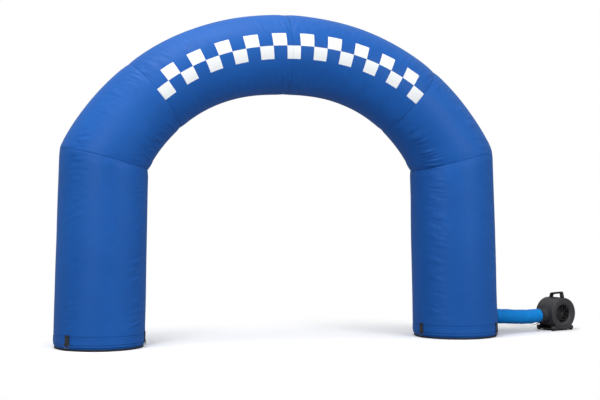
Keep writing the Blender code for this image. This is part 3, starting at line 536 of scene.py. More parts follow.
def webbing_material():
    material, tree, shader = new_material("webbing", (0.014, 0.014, 0.016, 1), 0.8)
    across, along, _ = split(tree, coordinates(tree, STRAP_UV))
    ribs = math_node(tree, "SINE", math_node(tree, "MULTIPLY", along, math.tau / RIB_PITCH))
    yarns = math_node(tree, "SINE", math_node(tree, "MULTIPLY", across, math.tau / YARN_PITCH))
    weave = math_node(tree, "MULTIPLY_ADD", math_node(tree, "MULTIPLY", ribs, yarns), 0.5, 0.5)
    stitches = box_stitches(tree, across, along)
    tone = group_node(tree, TONE, Vector=coordinates(tree), Light=WEB_LIGHT, Dark=WEB_DARK)
    colour = mix_colours(tree, stitches, tone["Color"], WEB_THREAD)
    plug(tree, colour, shader.inputs["Base Color"])
    height = math_node(tree, "MULTIPLY_ADD", stitches, 1.2, weave)
    add_bump(tree, shader, height, 0.6, 0.0006)
    plug(tree, remap(tree, weave, 0, 1, 0.90, 0.72), shader.inputs["Roughness"])
    shader.inputs["Sheen Weight"].default_value = 0.15
    shader.inputs["Specular IOR Level"].default_value = 0.3
    return material


# %% Moulded and coated materials
WEAR_WIDTH = 0.0025
GRAIN_DEPTH = 0.0003
MOULDED = {
    # name: (light, dark, worn, roughness, grain)
    "pad_vinyl": ((0.014, 0.015, 0.018), (0.009, 0.009, 0.011), (0.05, 0.05, 0.055), 0.55, 500),
    "housing_plastic": ((0.044, 0.044, 0.047), (0.030, 0.030, 0.033), (0.11, 0.11, 0.115), 0.50, 700),
    "grille_plastic": ((0.046, 0.046, 0.048), (0.034, 0.034, 0.036), (0.07, 0.07, 0.072), 0.48, 900),
    "handle_plastic": ((0.014, 0.014, 0.015), (0.010, 0.010, 0.011), (0.06, 0.06, 0.062), 0.42, 900),
    "foot_rubber": ((0.011, 0.011, 0.012), (0.008, 0.008, 0.009), (0.04, 0.04, 0.042), 0.82, 600),
}


def moulded_material(name, light, dark, worn, roughness, grain):
    """Moulded plastic, vinyl or rubber: fine pebbles, uneven tone and pale rubbed edges."""
    light, dark, worn = (*light, 1), (*dark, 1), (*worn, 1)
    material, tree, shader = new_material(name, light, roughness)
    place = coordinates(tree)
    tone = group_node(tree, TONE, Vector=place, Light=light, Dark=dark)
    worn_mask = group_node(tree, WEAR, Vector=place, Width=WEAR_WIDTH)["Mask"]
    plug(tree, mix_colours(tree, worn_mask, tone["Color"], worn), shader.inputs["Base Color"])
    pebbles = group_node(tree, GRAIN, Vector=place, Scale=grain)["Height"]
    add_bump(tree, shader, pebbles, 0.5, GRAIN_DEPTH)
    low, high = roughness - 0.06, roughness + 0.08
    plug(tree, remap(tree, tone["Mask"], 0, 1, low, high), shader.inputs["Roughness"])
    return material


def metal_material(name, light, dark, roughness, scale):
    """Plated or cast metal with faint clouds of dullness."""
    material, tree, shader = new_material(name, light, roughness, 1.0)
    place = coordinates(tree)
    clouds = noise_node(tree, place, scale, 4.0, 0.6)
    plug(tree, mix_colours(tree, clouds, dark, light), shader.inputs["Base Color"])
    low, high = roughness + 0.12, roughness - 0.05
    plug(tree, remap(tree, clouds, 0.3, 0.7, low, high), shader.inputs["Roughness"])
    add_bump(tree, shader, noise_node(tree, place, scale * 12, 3.0), 0.3, 0.0002)
    return material


WEBBING = webbing_material()
VINYL, HOUSING, GRILLE, HANDLE, RUBBER = [
    moulded_material(name, *facts) for name, facts in MOULDED.items()
]
STEEL = metal_material("ring_steel", (0.34, 0.34, 0.36, 1), (0.20, 0.20, 0.21, 1), 0.42, 45.0)
MOTOR = metal_material("motor_metal", (0.31, 0.31, 0.32, 1), (0.22, 0.22, 0.23, 1), 0.42, 30.0)
print(len(bpy.data.materials), "materials")

# %% [markdown]
# ## The line of the arch
# Each leg leans in a little and meets the curved part at a mitred seam. The curve is a
# superellipse, squarer than a circle. Its length is tabled once, so that every later step can ask
# for a place by its distance in metres along the cloth.

# %% Centreline
CURVE_STEPS = 1200


def running_lengths(points):
    """The length of a line up to each of its points."""
    lengths = [0.0]
    for before, after in zip(points, points[1:]):
        lengths.append(lengths[-1] + (after - before).length)
    return lengths


def curve_point(turn):
    power = 2 / CURVE_SQUARENESS
    across = CURVE_HALF_WIDTH * max(math.cos(turn), 0) ** power
    return Vector((across, 0, CURVE_BASE + CURVE_RISE * math.sin(turn) ** power))


def table_curve():
    """Points from the shoulder to the crown, and the length of cloth up to each."""
    share = (math.pi / 2 - SHOULDER_TURN) / CURVE_STEPS
    points = [curve_point(SHOULDER_TURN + share * i) for i in range(CURVE_STEPS + 1)]
    lengths = running_lengths(points)
    return points, lengths, lengths[round((HAUNCH_TURN - SHOULDER_TURN) / share)]


CURVE, LENGTHS, HAUNCH = table_curve()
HALF_LENGTH = LENGTHS[-1]
SHOULDER_POINT = CURVE[0]
LEG_FOOT = Vector((FOOT_SPACING / 2, 0, 0))
LEG_AXIS = (SHOULDER_POINT - LEG_FOOT).normalized()
LEG_LENGTH = (SHOULDER_POINT - LEG_FOOT).length
print("curved half", round(HALF_LENGTH, 3), "m, haunch seam at", round(HAUNCH, 3), "m")

# %% Frames along the tube
MITRE_EASE = 0.30
LEG_LEAN = 0.55


def curve_at(distance):
    """The place and direction at a distance along the curved half."""
    low, high = 0, CURVE_STEPS
    while high - low > 1:
        middle = (low + high) // 2
        low, high = (middle, high) if LENGTHS[middle] <= distance else (low, middle)
    share = (distance - LENGTHS[low]) / (LENGTHS[high] - LENGTHS[low])
    return CURVE[low].lerp(CURVE[high], share), (CURVE[high] - CURVE[low]).normalized()


MITRE = (LEG_AXIS + curve_at(0)[1]).normalized()
MITRE_STRETCH = 1 / MITRE.dot(LEG_AXIS)


def curve_frame(distance):
    """Centre, ring normal, stretch and radius of the tube at a distance along the curve."""
    centre, along = curve_at(min(max(distance, 0), HALF_LENGTH))
    lean = max(0.0, 1 - distance / MITRE_EASE)
    t = distance / HALF_LENGTH
    radius = SHOULDER_RADIUS * (1 - t) * (1 - 2 * t)
    radius += 4 * HAUNCH_RADIUS * t * (1 - t) + CROWN_RADIUS * t * (2 * t - 1)
    along = along.lerp(MITRE, lean).normalized()
    return centre, along, 1 + (MITRE_STRETCH - 1) * lean, radius


def leg_frame(distance):
    """The same for the leg, from the ground up. Its rings lean into the mitre near the top."""
    centre = LEG_FOOT + LEG_AXIS * distance
    radius = FOOT_RADIUS + (SHOULDER_RADIUS - FOOT_RADIUS) * distance / LEG_LENGTH
    lean = max(0.0, 1 - (LEG_LENGTH - distance) / LEG_LEAN)
    along = Vector((0, 0, 1)).lerp(MITRE, lean).normalized()
    return centre, along, 1 / along.dot(LEG_AXIS), radius


def ring_place(frame_here, angle, lift=0.0):
    """A place on a ring. Angle 0 is outside the bend, 90 at the back and 270 in front."""
    centre, along, stretch, radius = frame_here
    out = Vector((0, 1, 0)).cross(along) * (stretch * math.cos(angle))
    return centre + (out + Vector((0, math.sin(angle), 0))) * (radius + lift)


# %% [markdown]
# ## How sewn cloth puckers
# Air pushes every panel out, and the thread holds it back. So the cloth dips at each seam, and
# small folds stand at right angles to the stitches and fade within a hand's width. A simulation
# would need a cell of a few millimetres over 11 metres of tube, so the folds are made directly:
# each is noise, stretched along the fold and squeezed across it, faded by its distance to the
# seam that makes it.

# %% Folds
SEAM_DRAW, SEAM_REACH = 0.0038, 0.010
SEAM_EASE_DRAW, SEAM_EASE = 0.0060, 0.060
END_PUCKER, END_PUCKER_REACH, END_PITCH = 0.0022, 0.11, 0.085
GORE_DRAW, GORE_REACH = 0.0010, 0.008
GORE_PUCKER, GORE_PUCKER_REACH, GORE_PITCH = 0.0046, 0.135, 0.066
BEND_PUCKER = 2.0
BEND_PLACE, BEND_REACH = 0.32, 0.24
FOLD_SLANT, FOLD_LENGTH = 0.20, 0.32
WAVE_HEIGHT, WAVE_MIDDLE = 2.2, 0.55
FINE_PITCH, FINE_SEED, FINE_SHARE = 2.3, 7.3, 0.3
END_FOLD_LENGTH, END_CLEAR, GORE_CLEAR = 0.11, 0.012, 0.05
STRENGTH, STRENGTH_SPREAD, STRENGTH_PITCH = 0.95, 0.7, 1.6
BEND_EVERYWHERE = 0.4
UNEVEN, UNEVEN_ALONG, UNEVEN_ROUND = 0.0040, 1.7, 1.1
GORE_ANGLES = tuple(math.radians(a) for a in (45, 135, 225, 315))


def fade(distance, reach):
    return math.exp(-((distance / reach) ** 2))


def ease(value, low, high):
    t = min(max((value - low) / (high - low), 0), 1)
    return t * t * (3 - 2 * t)


def fold_wave(along, across, pitch, length, seed):
    """Round bulges with sharp creases between them, one about every pitch along the seam."""
    wave = abs(noise.noise(Vector((along / pitch, across / length, seed))))
    fine = noise.noise(Vector((along / pitch * FINE_PITCH, across / length, seed + FINE_SEED)))
    return WAVE_HEIGHT * wave - WAVE_MIDDLE + FINE_SHARE * fine


def gore_distance(angle, radius):
    """Distance around the tube to the nearest gore seam, with its sign, and its number."""
    gaps = [math.remainder(angle - seam, math.tau) for seam in GORE_ANGLES]
    number = min(range(len(gaps)), key=lambda k: abs(gaps[k]))
    return gaps[number] * radius, number


def end_folds(near, around, seed):
    """Folds across a panel's end seams, and the dip that the thread pulls into the cloth."""
    wave = fold_wave(around, near, END_PITCH, END_FOLD_LENGTH, seed)
    lift = END_PUCKER * wave * fade(near, END_PUCKER_REACH) * (1 - fade(near, END_CLEAR))
    return lift - SEAM_DRAW * fade(near, SEAM_REACH) - SEAM_EASE_DRAW * fade(near, SEAM_EASE)


def gore_folds(distance, near, angle, radius, seed, bend):
    """Folds across the long seams. They are deepest inside a bend, where cloth is to spare."""
    gap, number = gore_distance(angle, radius)
    spot = Vector((distance * STRENGTH_PITCH, number * 5.7, seed + 11))
    strength = STRENGTH + STRENGTH_SPREAD * noise.noise(spot)
    inside = BEND_PUCKER if math.cos(angle) < 0 else BEND_PUCKER / 3
    strength += inside * bend * (BEND_EVERYWHERE + fade(distance - BEND_PLACE, BEND_REACH))
    slant = distance + FOLD_SLANT * gap
    wave = fold_wave(slant, gap, GORE_PITCH, FOLD_LENGTH, seed + number * 13.7)
    lift = GORE_PUCKER * strength * wave * fade(gap, GORE_PUCKER_REACH)
    return lift - GORE_DRAW * fade(gap, GORE_REACH) * (1 - fade(near, GORE_CLEAR))


def relief(distance, near, angle, radius, seed, bend):
    """How far the cloth stands out, in metres, at a place on a panel."""
    lift = end_folds(near, angle * radius, seed)
    lift += gore_folds(distance, near, angle, radius, seed, bend)
    x, y = math.cos(angle) * UNEVEN_ROUND, math.sin(angle) * UNEVEN_ROUND
    return lift + UNEVEN * noise.noise(Vector((distance * UNEVEN_ALONG, x, y + seed)))


# %% [markdown]
# ## Cloth tubes
# A panel starts as a plain cylinder made by one operator. Its rows of points are closer near the
# seams, where the cloth bends sharply. Every point then moves to its place on the arch, and the
# panel keeps two pattern maps: metres of cloth, and the distances to its ends and long seams.

# %% Tube maker
def tube_mesh(rows, around, place, maps):
    """A cylinder whose point (row, step) moves to place(row, step), with its pattern maps."""
    bm = bmesh.new()
    last = rows - 1
    bmesh.ops.create_cone(bm, cap_ends=False, segments=around, radius1=1, radius2=1, depth=last)
    long_edges = [e for e in bm.edges if abs(e.verts[0].co.z - e.verts[1].co.z) > 0.5]
    bmesh.ops.subdivide_edges(bm, edges=long_edges, cuts=last - 1)
    grid = {}
    for vert in bm.verts:
        step = round(math.atan2(vert.co.y, vert.co.x) / math.tau * around) % around
        grid[vert] = (round(vert.co.z + last / 2), step)
    layers = {label: bm.loops.layers.uv.new(label) for label in maps}
    for face in bm.faces:
        steps = [grid[vert][1] for vert in face.verts]
        wraps = max(steps) - min(steps) > 1
        for loop in face.loops:
            row, step = grid[loop.vert]
            step += around if wraps and step == 0 else 0
            for label, layer in layers.items():
                loop[layer].uv = maps[label](row, step)
    for vert, (row, step) in grid.items():
        vert.co = place(row, step)
    return bm


def flip_side(bm):
    """Turns a right-hand piece into its left-hand twin."""
    bmesh.ops.scale(bm, vec=(-1, 1, 1), verts=bm.verts)
    bmesh.ops.reverse_faces(bm, faces=bm.faces)


def finish_mesh(name, bm, material, sharp=None, place=None):
    """Puts the place into the mesh, and makes the object at the origin with its material."""
    if place is not None:
        bmesh.ops.transform(bm, matrix=place, verts=bm.verts)
    mesh = bpy.data.meshes.new(name)
    bm.to_mesh(mesh)
    bm.free()
    mesh.materials.append(material)
    mesh.shade_smooth()
    if sharp:
        mesh.set_sharp_from_angle(angle=math.radians(sharp))
    return add_to_scene(bpy.data.objects.new(name, mesh))


def add_wall(obj, thickness, offset=-1):
    wall = obj.modifiers.new("wall", "SOLIDIFY")
    wall.thickness = thickness
    wall.offset = offset
    return obj


def dress(obj, slot, *nodes, body=ARCH):
    """The piece moves with its body and stands for these nodes. The slot is not used."""
    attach(obj, body)
    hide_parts(*nodes)
    return obj


# %% Sewn panels
AROUND = 176
GORE_CROWDING = 0.6
END_CROWDING = 0.62
FRONT_ANGLE = math.radians(270)
PATTERN_RADIUS = 0.5


def crowded_angle(step):
    """Even steps around the tube, drawn together at the gore seams."""
    even = math.tau * step / AROUND
    return even - GORE_CROWDING * math.sin(4 * even - math.pi) / 4


def crowded_share(share):
    """Even steps along a panel, drawn together at both ends."""
    return share - END_CROWDING * math.sin(math.tau * share) / math.tau


def panel_mesh(rows, frame_at, start, end, side, shape):
    """A tube from start to end along the right half, or its left twin, lifted by shape()."""

    def where(row):
        return start + (end - start) * crowded_share(row / (rows - 1))

    def place(row, step):
        distance, angle = where(row), crowded_angle(step)
        here = frame_at(distance)
        near = min(distance - start, end - distance)
        return ring_place(here, angle, shape(distance, near, angle, here[3]))

    def pattern(row, step):
        from_front = crowded_angle(step) - FRONT_ANGLE
        return (HALF_LENGTH - where(row), from_front * PATTERN_RADIUS)

    def seams(row, step):
        distance, angle = where(row), crowded_angle(step)
        return (min(distance - start, end - distance), abs(gore_distance(angle, PATTERN_RADIUS)[0]))

    bm = tube_mesh(rows, AROUND, place, {CLOTH_UV: pattern, SEAM_UV: seams})
    if side < 0:
        flip_side(bm)
    bmesh.ops.translate(bm, vec=MIDDLE, verts=bm.verts)
    return bm


def sew_panel(node, bm, length, radius, material=ARCH_CLOTH):
    """A tube of cloth that air holds stretched, cut to its girth and its length."""
    obj = add_wall(finish_mesh(f"{node}_cloth", bm, material), CLOTH)
    dress(obj, "arch_cloth", node)
    print(obj.name, "girth", round(math.tau * radius, 2), "m, length", round(length, 2), "m")
    return obj


# %% [markdown]
# ## The legs' feet and the air inlet
# At the foot the cloth is drawn in to the pad, and a band of the same cloth is sewn over it to
# carry the anchor straps. Under that band the leg lies flat, so its folds fade out there. The right
# leg has a round hole low on its outer side, where the air comes in through the sleeve.

# %% Foot shape
PAD_TOP = 0.023
BAND_LOW, BAND_HIGH = 0.076, 0.150
HEM_LINES = (0.066, 0.160)
HEM_DRAW, HEM_REACH = 0.0045, 0.008
FOOT_DRAW, FOOT_REACH = 0.016, 0.020
FOLDS_LOW, FOLDS_HIGH = 0.195, 0.300
INLET_HEIGHT = 0.245
INLET_TURN = math.radians(4.0)
INLET_RADIUS, INLET_SNAP = 0.086, 0.03
BAND_PRESS, BAND_MARGIN = 0.0022, 0.004


def leg_shape(seed):
    """Folds that fade out under the band, where the leg is drawn in to the pad."""

    def shape(distance, _, angle, radius):
        height = distance * LEG_AXIS.z
        folds = relief(distance, LEG_LENGTH - distance, angle, radius, seed, 0.0)
        lift = folds * ease(height, FOLDS_LOW, FOLDS_HIGH)
        lift -= FOOT_DRAW * fade(height - PAD_TOP, FOOT_REACH)
        for line in HEM_LINES:
            lift -= HEM_DRAW * fade(height - line, HEM_REACH)
        under_band = BAND_LOW - BAND_MARGIN < height < BAND_HIGH + BAND_MARGIN
        return lift - (BAND_PRESS if under_band else 0)

    return shape


def open_inlet(bm):
    """Opens the air hole in the right leg, and draws the cloth's edge onto its circle."""
    out = Vector((math.cos(INLET_TURN), math.sin(INLET_TURN), 0))
    centre = MIDDLE + LEG_FOOT + LEG_AXIS * (INLET_HEIGHT / LEG_AXIS.z)

    def off_axis(point):
        away = point - centre
        along = out * away.dot(out)
        return away - along, away.dot(out) > 0

    inside = [
        face
        for face in bm.faces
        if off_axis(face.calc_center_median())[1]
        and off_axis(face.calc_center_median())[0].length < INLET_RADIUS
    ]
    bmesh.ops.delete(bm, geom=inside, context="FACES")
    for vert in {v for e in bm.edges if e.is_boundary for v in e.verts}:
        away, outside = off_axis(vert.co)
        if outside and away.length < INLET_RADIUS + INLET_SNAP:
            vert.co += away * (INLET_RADIUS / away.length - 1)


# %% Dress the panels
LEG_ROWS, SHOULDER_ROWS, TOP_ROWS = 205, 100, 190
SEEDS = {"left": 41.7, "right": 3.1}
SHOULDER_SEED, SHOULDER_BEND = 5, 1.0
TOP_SEED, TOP_BEND = 9, 0.4


def curved_shape(seed, bend):
    def shape(distance, near, angle, radius):
        return relief(distance, near, angle, radius, seed, bend)

    return shape


def make_panels(side, key):
    """A leg, a shoulder and half of the top, each resting on the one below it."""
    seed = SEEDS[key]
    bm = panel_mesh(LEG_ROWS, leg_frame, PAD_TOP, LEG_LENGTH, side, leg_shape(seed))
    if side > 0:
        open_inlet(bm)
    leg = sew_panel(f"{key}_leg", bm, LEG_LENGTH, FOOT_RADIUS)
    shape = curved_shape(seed + SHOULDER_SEED, SHOULDER_BEND)
    bm = panel_mesh(SHOULDER_ROWS, curve_frame, 0, HAUNCH, side, shape)
    shoulder = sew_panel(f"{key}_shoulder", bm, HAUNCH, SHOULDER_RADIUS)
    shape = curved_shape(seed + TOP_SEED, TOP_BEND)
    bm = panel_mesh(TOP_ROWS, curve_frame, HAUNCH, HALF_LENGTH, side, shape)
    sew_panel(f"{key}_top", bm, HALF_LENGTH - HAUNCH, CROWN_RADIUS, TOP_CLOTH)
    return leg


LEGS = {key: make_panels(side, key) for side, key in SIDES}

# %% [markdown]
# ## Foot bands and ground pads
# The band is a ring of the same nylon, hemmed and sewn twice, that spreads the pull of the anchor
# straps. Below it the leg is welded to a round pad of black coated cloth, whose bead is the thin
# dark line where the arch meets the ground. The band is a short tube, and the pad is a flat disc
# with a bead that is spun from its section.

# %% Foot bands
BAND_ROWS = 26
BAND_LIFT = 0.0016
HEM_HEIGHT, HEM_WIDTH = 0.0009, 0.006
BAND_SEED, BAND_PITCH, BAND_FOLD_LENGTH = 60.0, 0.09, 0.12
BAND_FOLD, BAND_DIP = 0.0012, 0.0006


def band_shape(seed):
    """Just off the leg, with a raised hem at both edges and soft low folds."""

    def shape(distance, near, angle, radius):
        wave = fold_wave(angle * radius, distance, BAND_PITCH, BAND_FOLD_LENGTH, seed)
        hem = HEM_HEIGHT if near < HEM_WIDTH else 0
        return BAND_LIFT + hem + max(wave * BAND_FOLD, -BAND_DIP)

    return shape


def make_band(side, key):
    low, high = BAND_LOW / LEG_AXIS.z, BAND_HIGH / LEG_AXIS.z
    bm = panel_mesh(BAND_ROWS, leg_frame, low, high, side, band_shape(BAND_SEED + side))
    sew_panel(f"{key}_foot_band", bm, high - low, FOOT_RADIUS)


for side, key in SIDES:
    make_band(side, key)

# %% Spun sections
def round_off(bm, geom, offset, segments, affect):
    """Rounds corners or edges into a few small faces."""
    bmesh.ops.bevel(
        bm,
        geom=geom,
        offset=offset,
        offset_type="OFFSET",
        segments=segments,
        profile=0.5,
        affect=affect,
        material=-1,
    )


def section_wire(points, rounding=0.0, closed=False, segments=3):
    """A wire of (radius, height) points whose inner corners are rounded by a bevel."""
    bm = bmesh.new()
    verts = [bm.verts.new((radius, 0, height)) for radius, height in points]
    pairs = list(zip(verts, verts[1:])) + ([(verts[-1], verts[0])] if closed else [])
    edges = [bm.edges.new(pair) for pair in pairs]
    if rounding:
        corners = verts if closed else verts[1:-1]
        round_off(bm, corners + edges, rounding, segments, "VERTICES")
    return bm


def spun(points, steps, rounding=0.0, closed=False, segments=3):
    """Spins a section round Z into a closed shell with its faces outwards."""
    bm = section_wire(points, rounding, closed, segments)
    bmesh.ops.spin(
        bm,
        geom=bm.verts[:] + bm.edges[:],
        cent=(0, 0, 0),
        axis=(0, 0, 1),
        dvec=(0, 0, 0),
        angle=math.tau,
        steps=steps,
        use_merge=True,
        use_duplicate=False,
    )
    bmesh.ops.remove_doubles(bm, verts=bm.verts, dist=0.000001)
    bmesh.ops.recalc_face_normals(bm, faces=bm.faces)
    return bm


# %% Ground pads
PAD_RADIUS = 0.516
PAD_SHEET = 0.0035
PAD_STEPS = 128
WELD_WIDE, WELD_EDGE = 0.03, 0.004
WELD_LOW, WELD_HIGH = PAD_SHEET + 0.0004, PAD_SHEET + 0.0018
BEAD = 0.011
BEAD_STEPS, BEAD_AROUND = 144, 20


def make_pad(side, key):
    disc = [(0, 0), (PAD_RADIUS, 0), (PAD_RADIUS, PAD_SHEET), (0, PAD_SHEET)]
    inner, outer = PAD_RADIUS - WELD_WIDE, PAD_RADIUS - WELD_EDGE
    weld = [(inner, WELD_LOW), (inner, WELD_HIGH), (outer, WELD_HIGH), (outer, WELD_LOW)]
    place = Matrix.Translation(MIDDLE + LEG_FOOT * side)
    bead = [
        (PAD_RADIUS + BEAD * math.sin(turn), BEAD - BEAD * math.cos(turn))
        for turn in (math.tau * i / BEAD_AROUND for i in range(BEAD_AROUND))
    ]
    sheet = finish_mesh(f"{key}_pad_sheet", spun(disc, PAD_STEPS, 0.0008), VINYL, 40, place)
    lap = finish_mesh(f"{key}_pad_weld", spun(weld, PAD_STEPS, closed=True), VINYL, 40, place)
    rim = finish_mesh(f"{key}_pad_bead", spun(bead, BEAD_STEPS, closed=True), VINYL, place=place)
    for piece in (sheet, lap, rim):
        dress(piece, "pad_vinyl", f"{key}_pad")


for side, key in SIDES:
    make_pad(side, key)
print("pads", round(2 * (PAD_RADIUS + BEAD), 3), "m across")

# %% [markdown]
# ## Anchor straps
# Three webbing straps hang from each band: two beside the passage's front and outer side, and one
# behind. Each is one length of webbing folded through a D-ring and sewn back on itself with a
# square and a cross. A flat grid is bent along that fold, so the weave keeps its direction, and a
# wall gives it the webbing's thickness.

# %% Bent strips
WEBBING_THICKNESS = 0.0025
STRAP_WIDTH = 0.070
STRAP_COLUMNS = 9
WEB_EDGE = 0.0006


def strip_mesh(path, width, columns, place, heights):
    """A grid bent along a path. place(point, across) gives the place of each of its points."""
    rows = len(path)
    bm = bmesh.new()
    bmesh.ops.create_grid(bm, x_segments=columns - 1, y_segments=rows - 1, size=0.5)
    layer = bm.loops.layers.uv.new(STRAP_UV)
    cells = {}
    for vert in bm.verts:
        column = round((vert.co.x + 0.5) * (columns - 1))
        row = round((vert.co.y + 0.5) * (rows - 1))
        cells[vert] = (row, (column / (columns - 1) - 0.5) * width)
    for face in bm.faces:
        for loop in face.loops:
            row, across = cells[loop.vert]
            loop[layer].uv = (across, heights[row])
    for vert, (row, across) in cells.items():
        vert.co = place(path[row], across)
    return bm


def soften(obj, width):
    """Rounds every sharp edge of what the modifiers have made so far."""
    edges = obj.modifiers.new("rounded_edges", "BEVEL")
    edges.width, edges.segments, edges.limit_method = width, 2, "ANGLE"
    edges.angle_limit = math.radians(50)
    return obj


def webbing_piece(node, bm):
    strip = add_wall(finish_mesh(f"{node}_webbing", bm, WEBBING), WEBBING_THICKNESS, 0)
    dress(soften(strip, WEB_EDGE), "webbing", node)


# %% Strap places
STRAP_EYE, STRAP_TOP = 0.068, 0.186
STRAP_SEAT = 0.0028
STRAP_TURNS = {"outer": -4.5, "inner": 6.5, "rear": 16.5}
STRAP_FACET = math.tau / 32
RING_WIRE = 0.0035


def strap_frame(side, key):
    """X out of the leg, Y across the strap and Z up the band, at the height of the ring's bar."""
    turn = STRAP_TURNS[key] * STRAP_FACET
    out = Vector((-side * math.sin(turn), -math.cos(turn), 0))
    on_band = []
    for height in (BAND_LOW, BAND_HIGH):
        centre, _, _, radius = leg_frame(height / LEG_AXIS.z)
        centre = Vector((side * centre.x, 0, height))
        on_band.append(MIDDLE + centre + out * (radius + STRAP_SEAT))
    up = (on_band[1] - on_band[0]).normalized()
    out = (out - up * out.dot(up)).normalized()
    frame_here = Matrix((out, up.cross(out), up)).transposed().to_4x4()
    frame_here.translation = on_band[0] + up * (STRAP_EYE - BAND_LOW)
    return frame_here


# %% Make the straps
FRONT_STEPS, EYE_STEPS, BACK_STEPS = 8, 14, 14
EYE_LAP = math.radians(35)
BACK_SETTLE, BACK_SHORT = 0.16, 0.005
BACK_LAYER_OFFSET = 0.06


def strap_fold():
    """The fold in side view, as (out, up), with the height that the stitching reads."""
    half, reach = WEBBING_THICKNESS / 2, STRAP_TOP - STRAP_EYE
    centre = RING_WIRE + GAP + WEBBING_THICKNESS
    round_bar = centre - half
    path = [(half, reach * (1 - i / FRONT_STEPS)) for i in range(FRONT_STEPS)]
    for i in range(EYE_STEPS + 1):
        turn = math.pi + (math.pi + EYE_LAP) * i / EYE_STEPS
        path.append((centre + round_bar * math.cos(turn), round_bar * math.sin(turn)))
    front = len(path)
    out, up = path[-1]
    for i in range(1, BACK_STEPS + 1):
        t = i / BACK_STEPS
        laid = ease(t, 0, BACK_SETTLE)
        path.append((out + (3 * half - out) * laid, up + (reach - BACK_SHORT - up) * t))
    heights = [-h - BACK_LAYER_OFFSET if i < front else h for i, (_, h) in enumerate(path)]
    return path, heights


def make_strap(side, key, which):
    here = strap_frame(side, which)
    path, heights = strap_fold()

    def place(point, across):
        wrap = across**2 / (2 * FOOT_RADIUS)
        return here @ Vector((point[0] - wrap, across, point[1]))

    bm = strip_mesh(path, STRAP_WIDTH, STRAP_COLUMNS, place, heights)
    webbing_piece(f"{key}_strap_{which}", bm)


for side, key in SIDES:
    for which in STRAP_TURNS:
        make_strap(side, key, which)
print(2 * len(STRAP_TURNS), "straps")

# %% [markdown]
# ## D-rings
# Each ring is a length of zinc plated wire bent into a D and welded in the middle of its bar,
# inside the strap's eye. It is a closed tube that follows the D, so the bends stay round.

# %% Make the rings
RING_HALF_WIDTH, RING_DROP, RING_CORNER = 0.0385, 0.040, 0.006
RING_BAR = RING_WIRE + GAP + WEBBING_THICKNESS
RING_AROUND = 14
BAR_STEPS, CORNER_STEPS, BOW_STEPS = 6, 4, 28


def ring_path():
    """The D in its own plane, as (across, up), as a closed line."""
    inner, low = RING_HALF_WIDTH - RING_CORNER, RING_DROP - RING_CORNER
    path = [(inner * (2 * i / BAR_STEPS - 1), 0) for i in range(BAR_STEPS + 1)]
    for i in range(1, CORNER_STEPS + 1):
        turn = math.pi / 2 * (1 - i / CORNER_STEPS)
        path.append((inner + RING_CORNER * math.cos(turn), RING_CORNER * (math.sin(turn) - 1)))
    for i in range(1, BOW_STEPS):
        turn = math.pi * i / BOW_STEPS
        path.append((RING_HALF_WIDTH * math.cos(turn), -RING_CORNER - low * math.sin(turn)))
    for i in range(CORNER_STEPS):
        turn = math.pi / 2 * (i / CORNER_STEPS)
        path.append((-inner - RING_CORNER * math.cos(turn), RING_CORNER * (math.sin(turn) - 1)))
    return [Vector((RING_BAR, across, up)) for across, up in path]


def closed_tube(path, radius, around, facing):
    """A tube of one radius round a closed line. facing is square to the line's plane."""
    count = len(path)

    def place(row, step):
        along = (path[(row + 1) % count] - path[row - 1 if row < count else -1]).normalized()
        turn = math.tau * step / around
        across, out = radius * math.cos(turn), radius * math.sin(turn)
        return path[row % count] + facing * across + along.cross(facing) * out

    bm = tube_mesh(count + 1, around, place, {})
    bmesh.ops.remove_doubles(bm, verts=bm.verts, dist=0.00001)
    bmesh.ops.recalc_face_normals(bm, faces=bm.faces)
    return bm


for side, key in SIDES:
    for which in STRAP_TURNS:
        bm = closed_tube(ring_path(), RING_WIRE, RING_AROUND, Vector((1, 0, 0)))
        ring = finish_mesh(f"{key}_ring_{which}_wire", bm, STEEL, place=strap_frame(side, which))
        dress(ring, "ring_steel", f"{key}_ring_{which}")
print("ring", 2 * RING_HALF_WIDTH, "m across")

# %% [markdown]
# ## The air sleeve
# A loose tube of lighter nylon joins the leg to the blower, so that the blower can stand a little
# way off. Air holds it round, and it sags slightly. Its root is sewn round the leg's inlet with a
# narrow flange, and its other end is pulled over the blower's nozzle. The path repeats the solids'
# curve, and every ring of points stays square to it, except the root, which lies on the leg.

# %% Sleeve path
BLOWER_SPOT = Vector((3.8004, 0.2791, 0))
BLOWER_TURN = math.radians(18.0)
BLOWER = Matrix.Translation(MIDDLE + BLOWER_SPOT) @ Matrix.Rotation(BLOWER_TURN, 4, "Z")
DRUM_RADIUS, DRUM_HEIGHT = 0.2045, 0.220
NOZZLE_HEIGHT, NOZZLE_REACH = 0.200, 0.365
SLEEVE_RADIUS, SLEEVE_CLEAR, SLEEVE_LAP = 0.089, 0.022, 0.097
SLEEVE_ROOT, SLEEVE_FALL = 0.070, 0.10
SLEEVE_SAMPLES, STRAIGHT_SAMPLES = 160, 40


def bezier(a, b, c, d, t):
    return a * (1 - t) ** 3 + b * 3 * t * (1 - t) ** 2 + c * 3 * t * t * (1 - t) + d * t**3


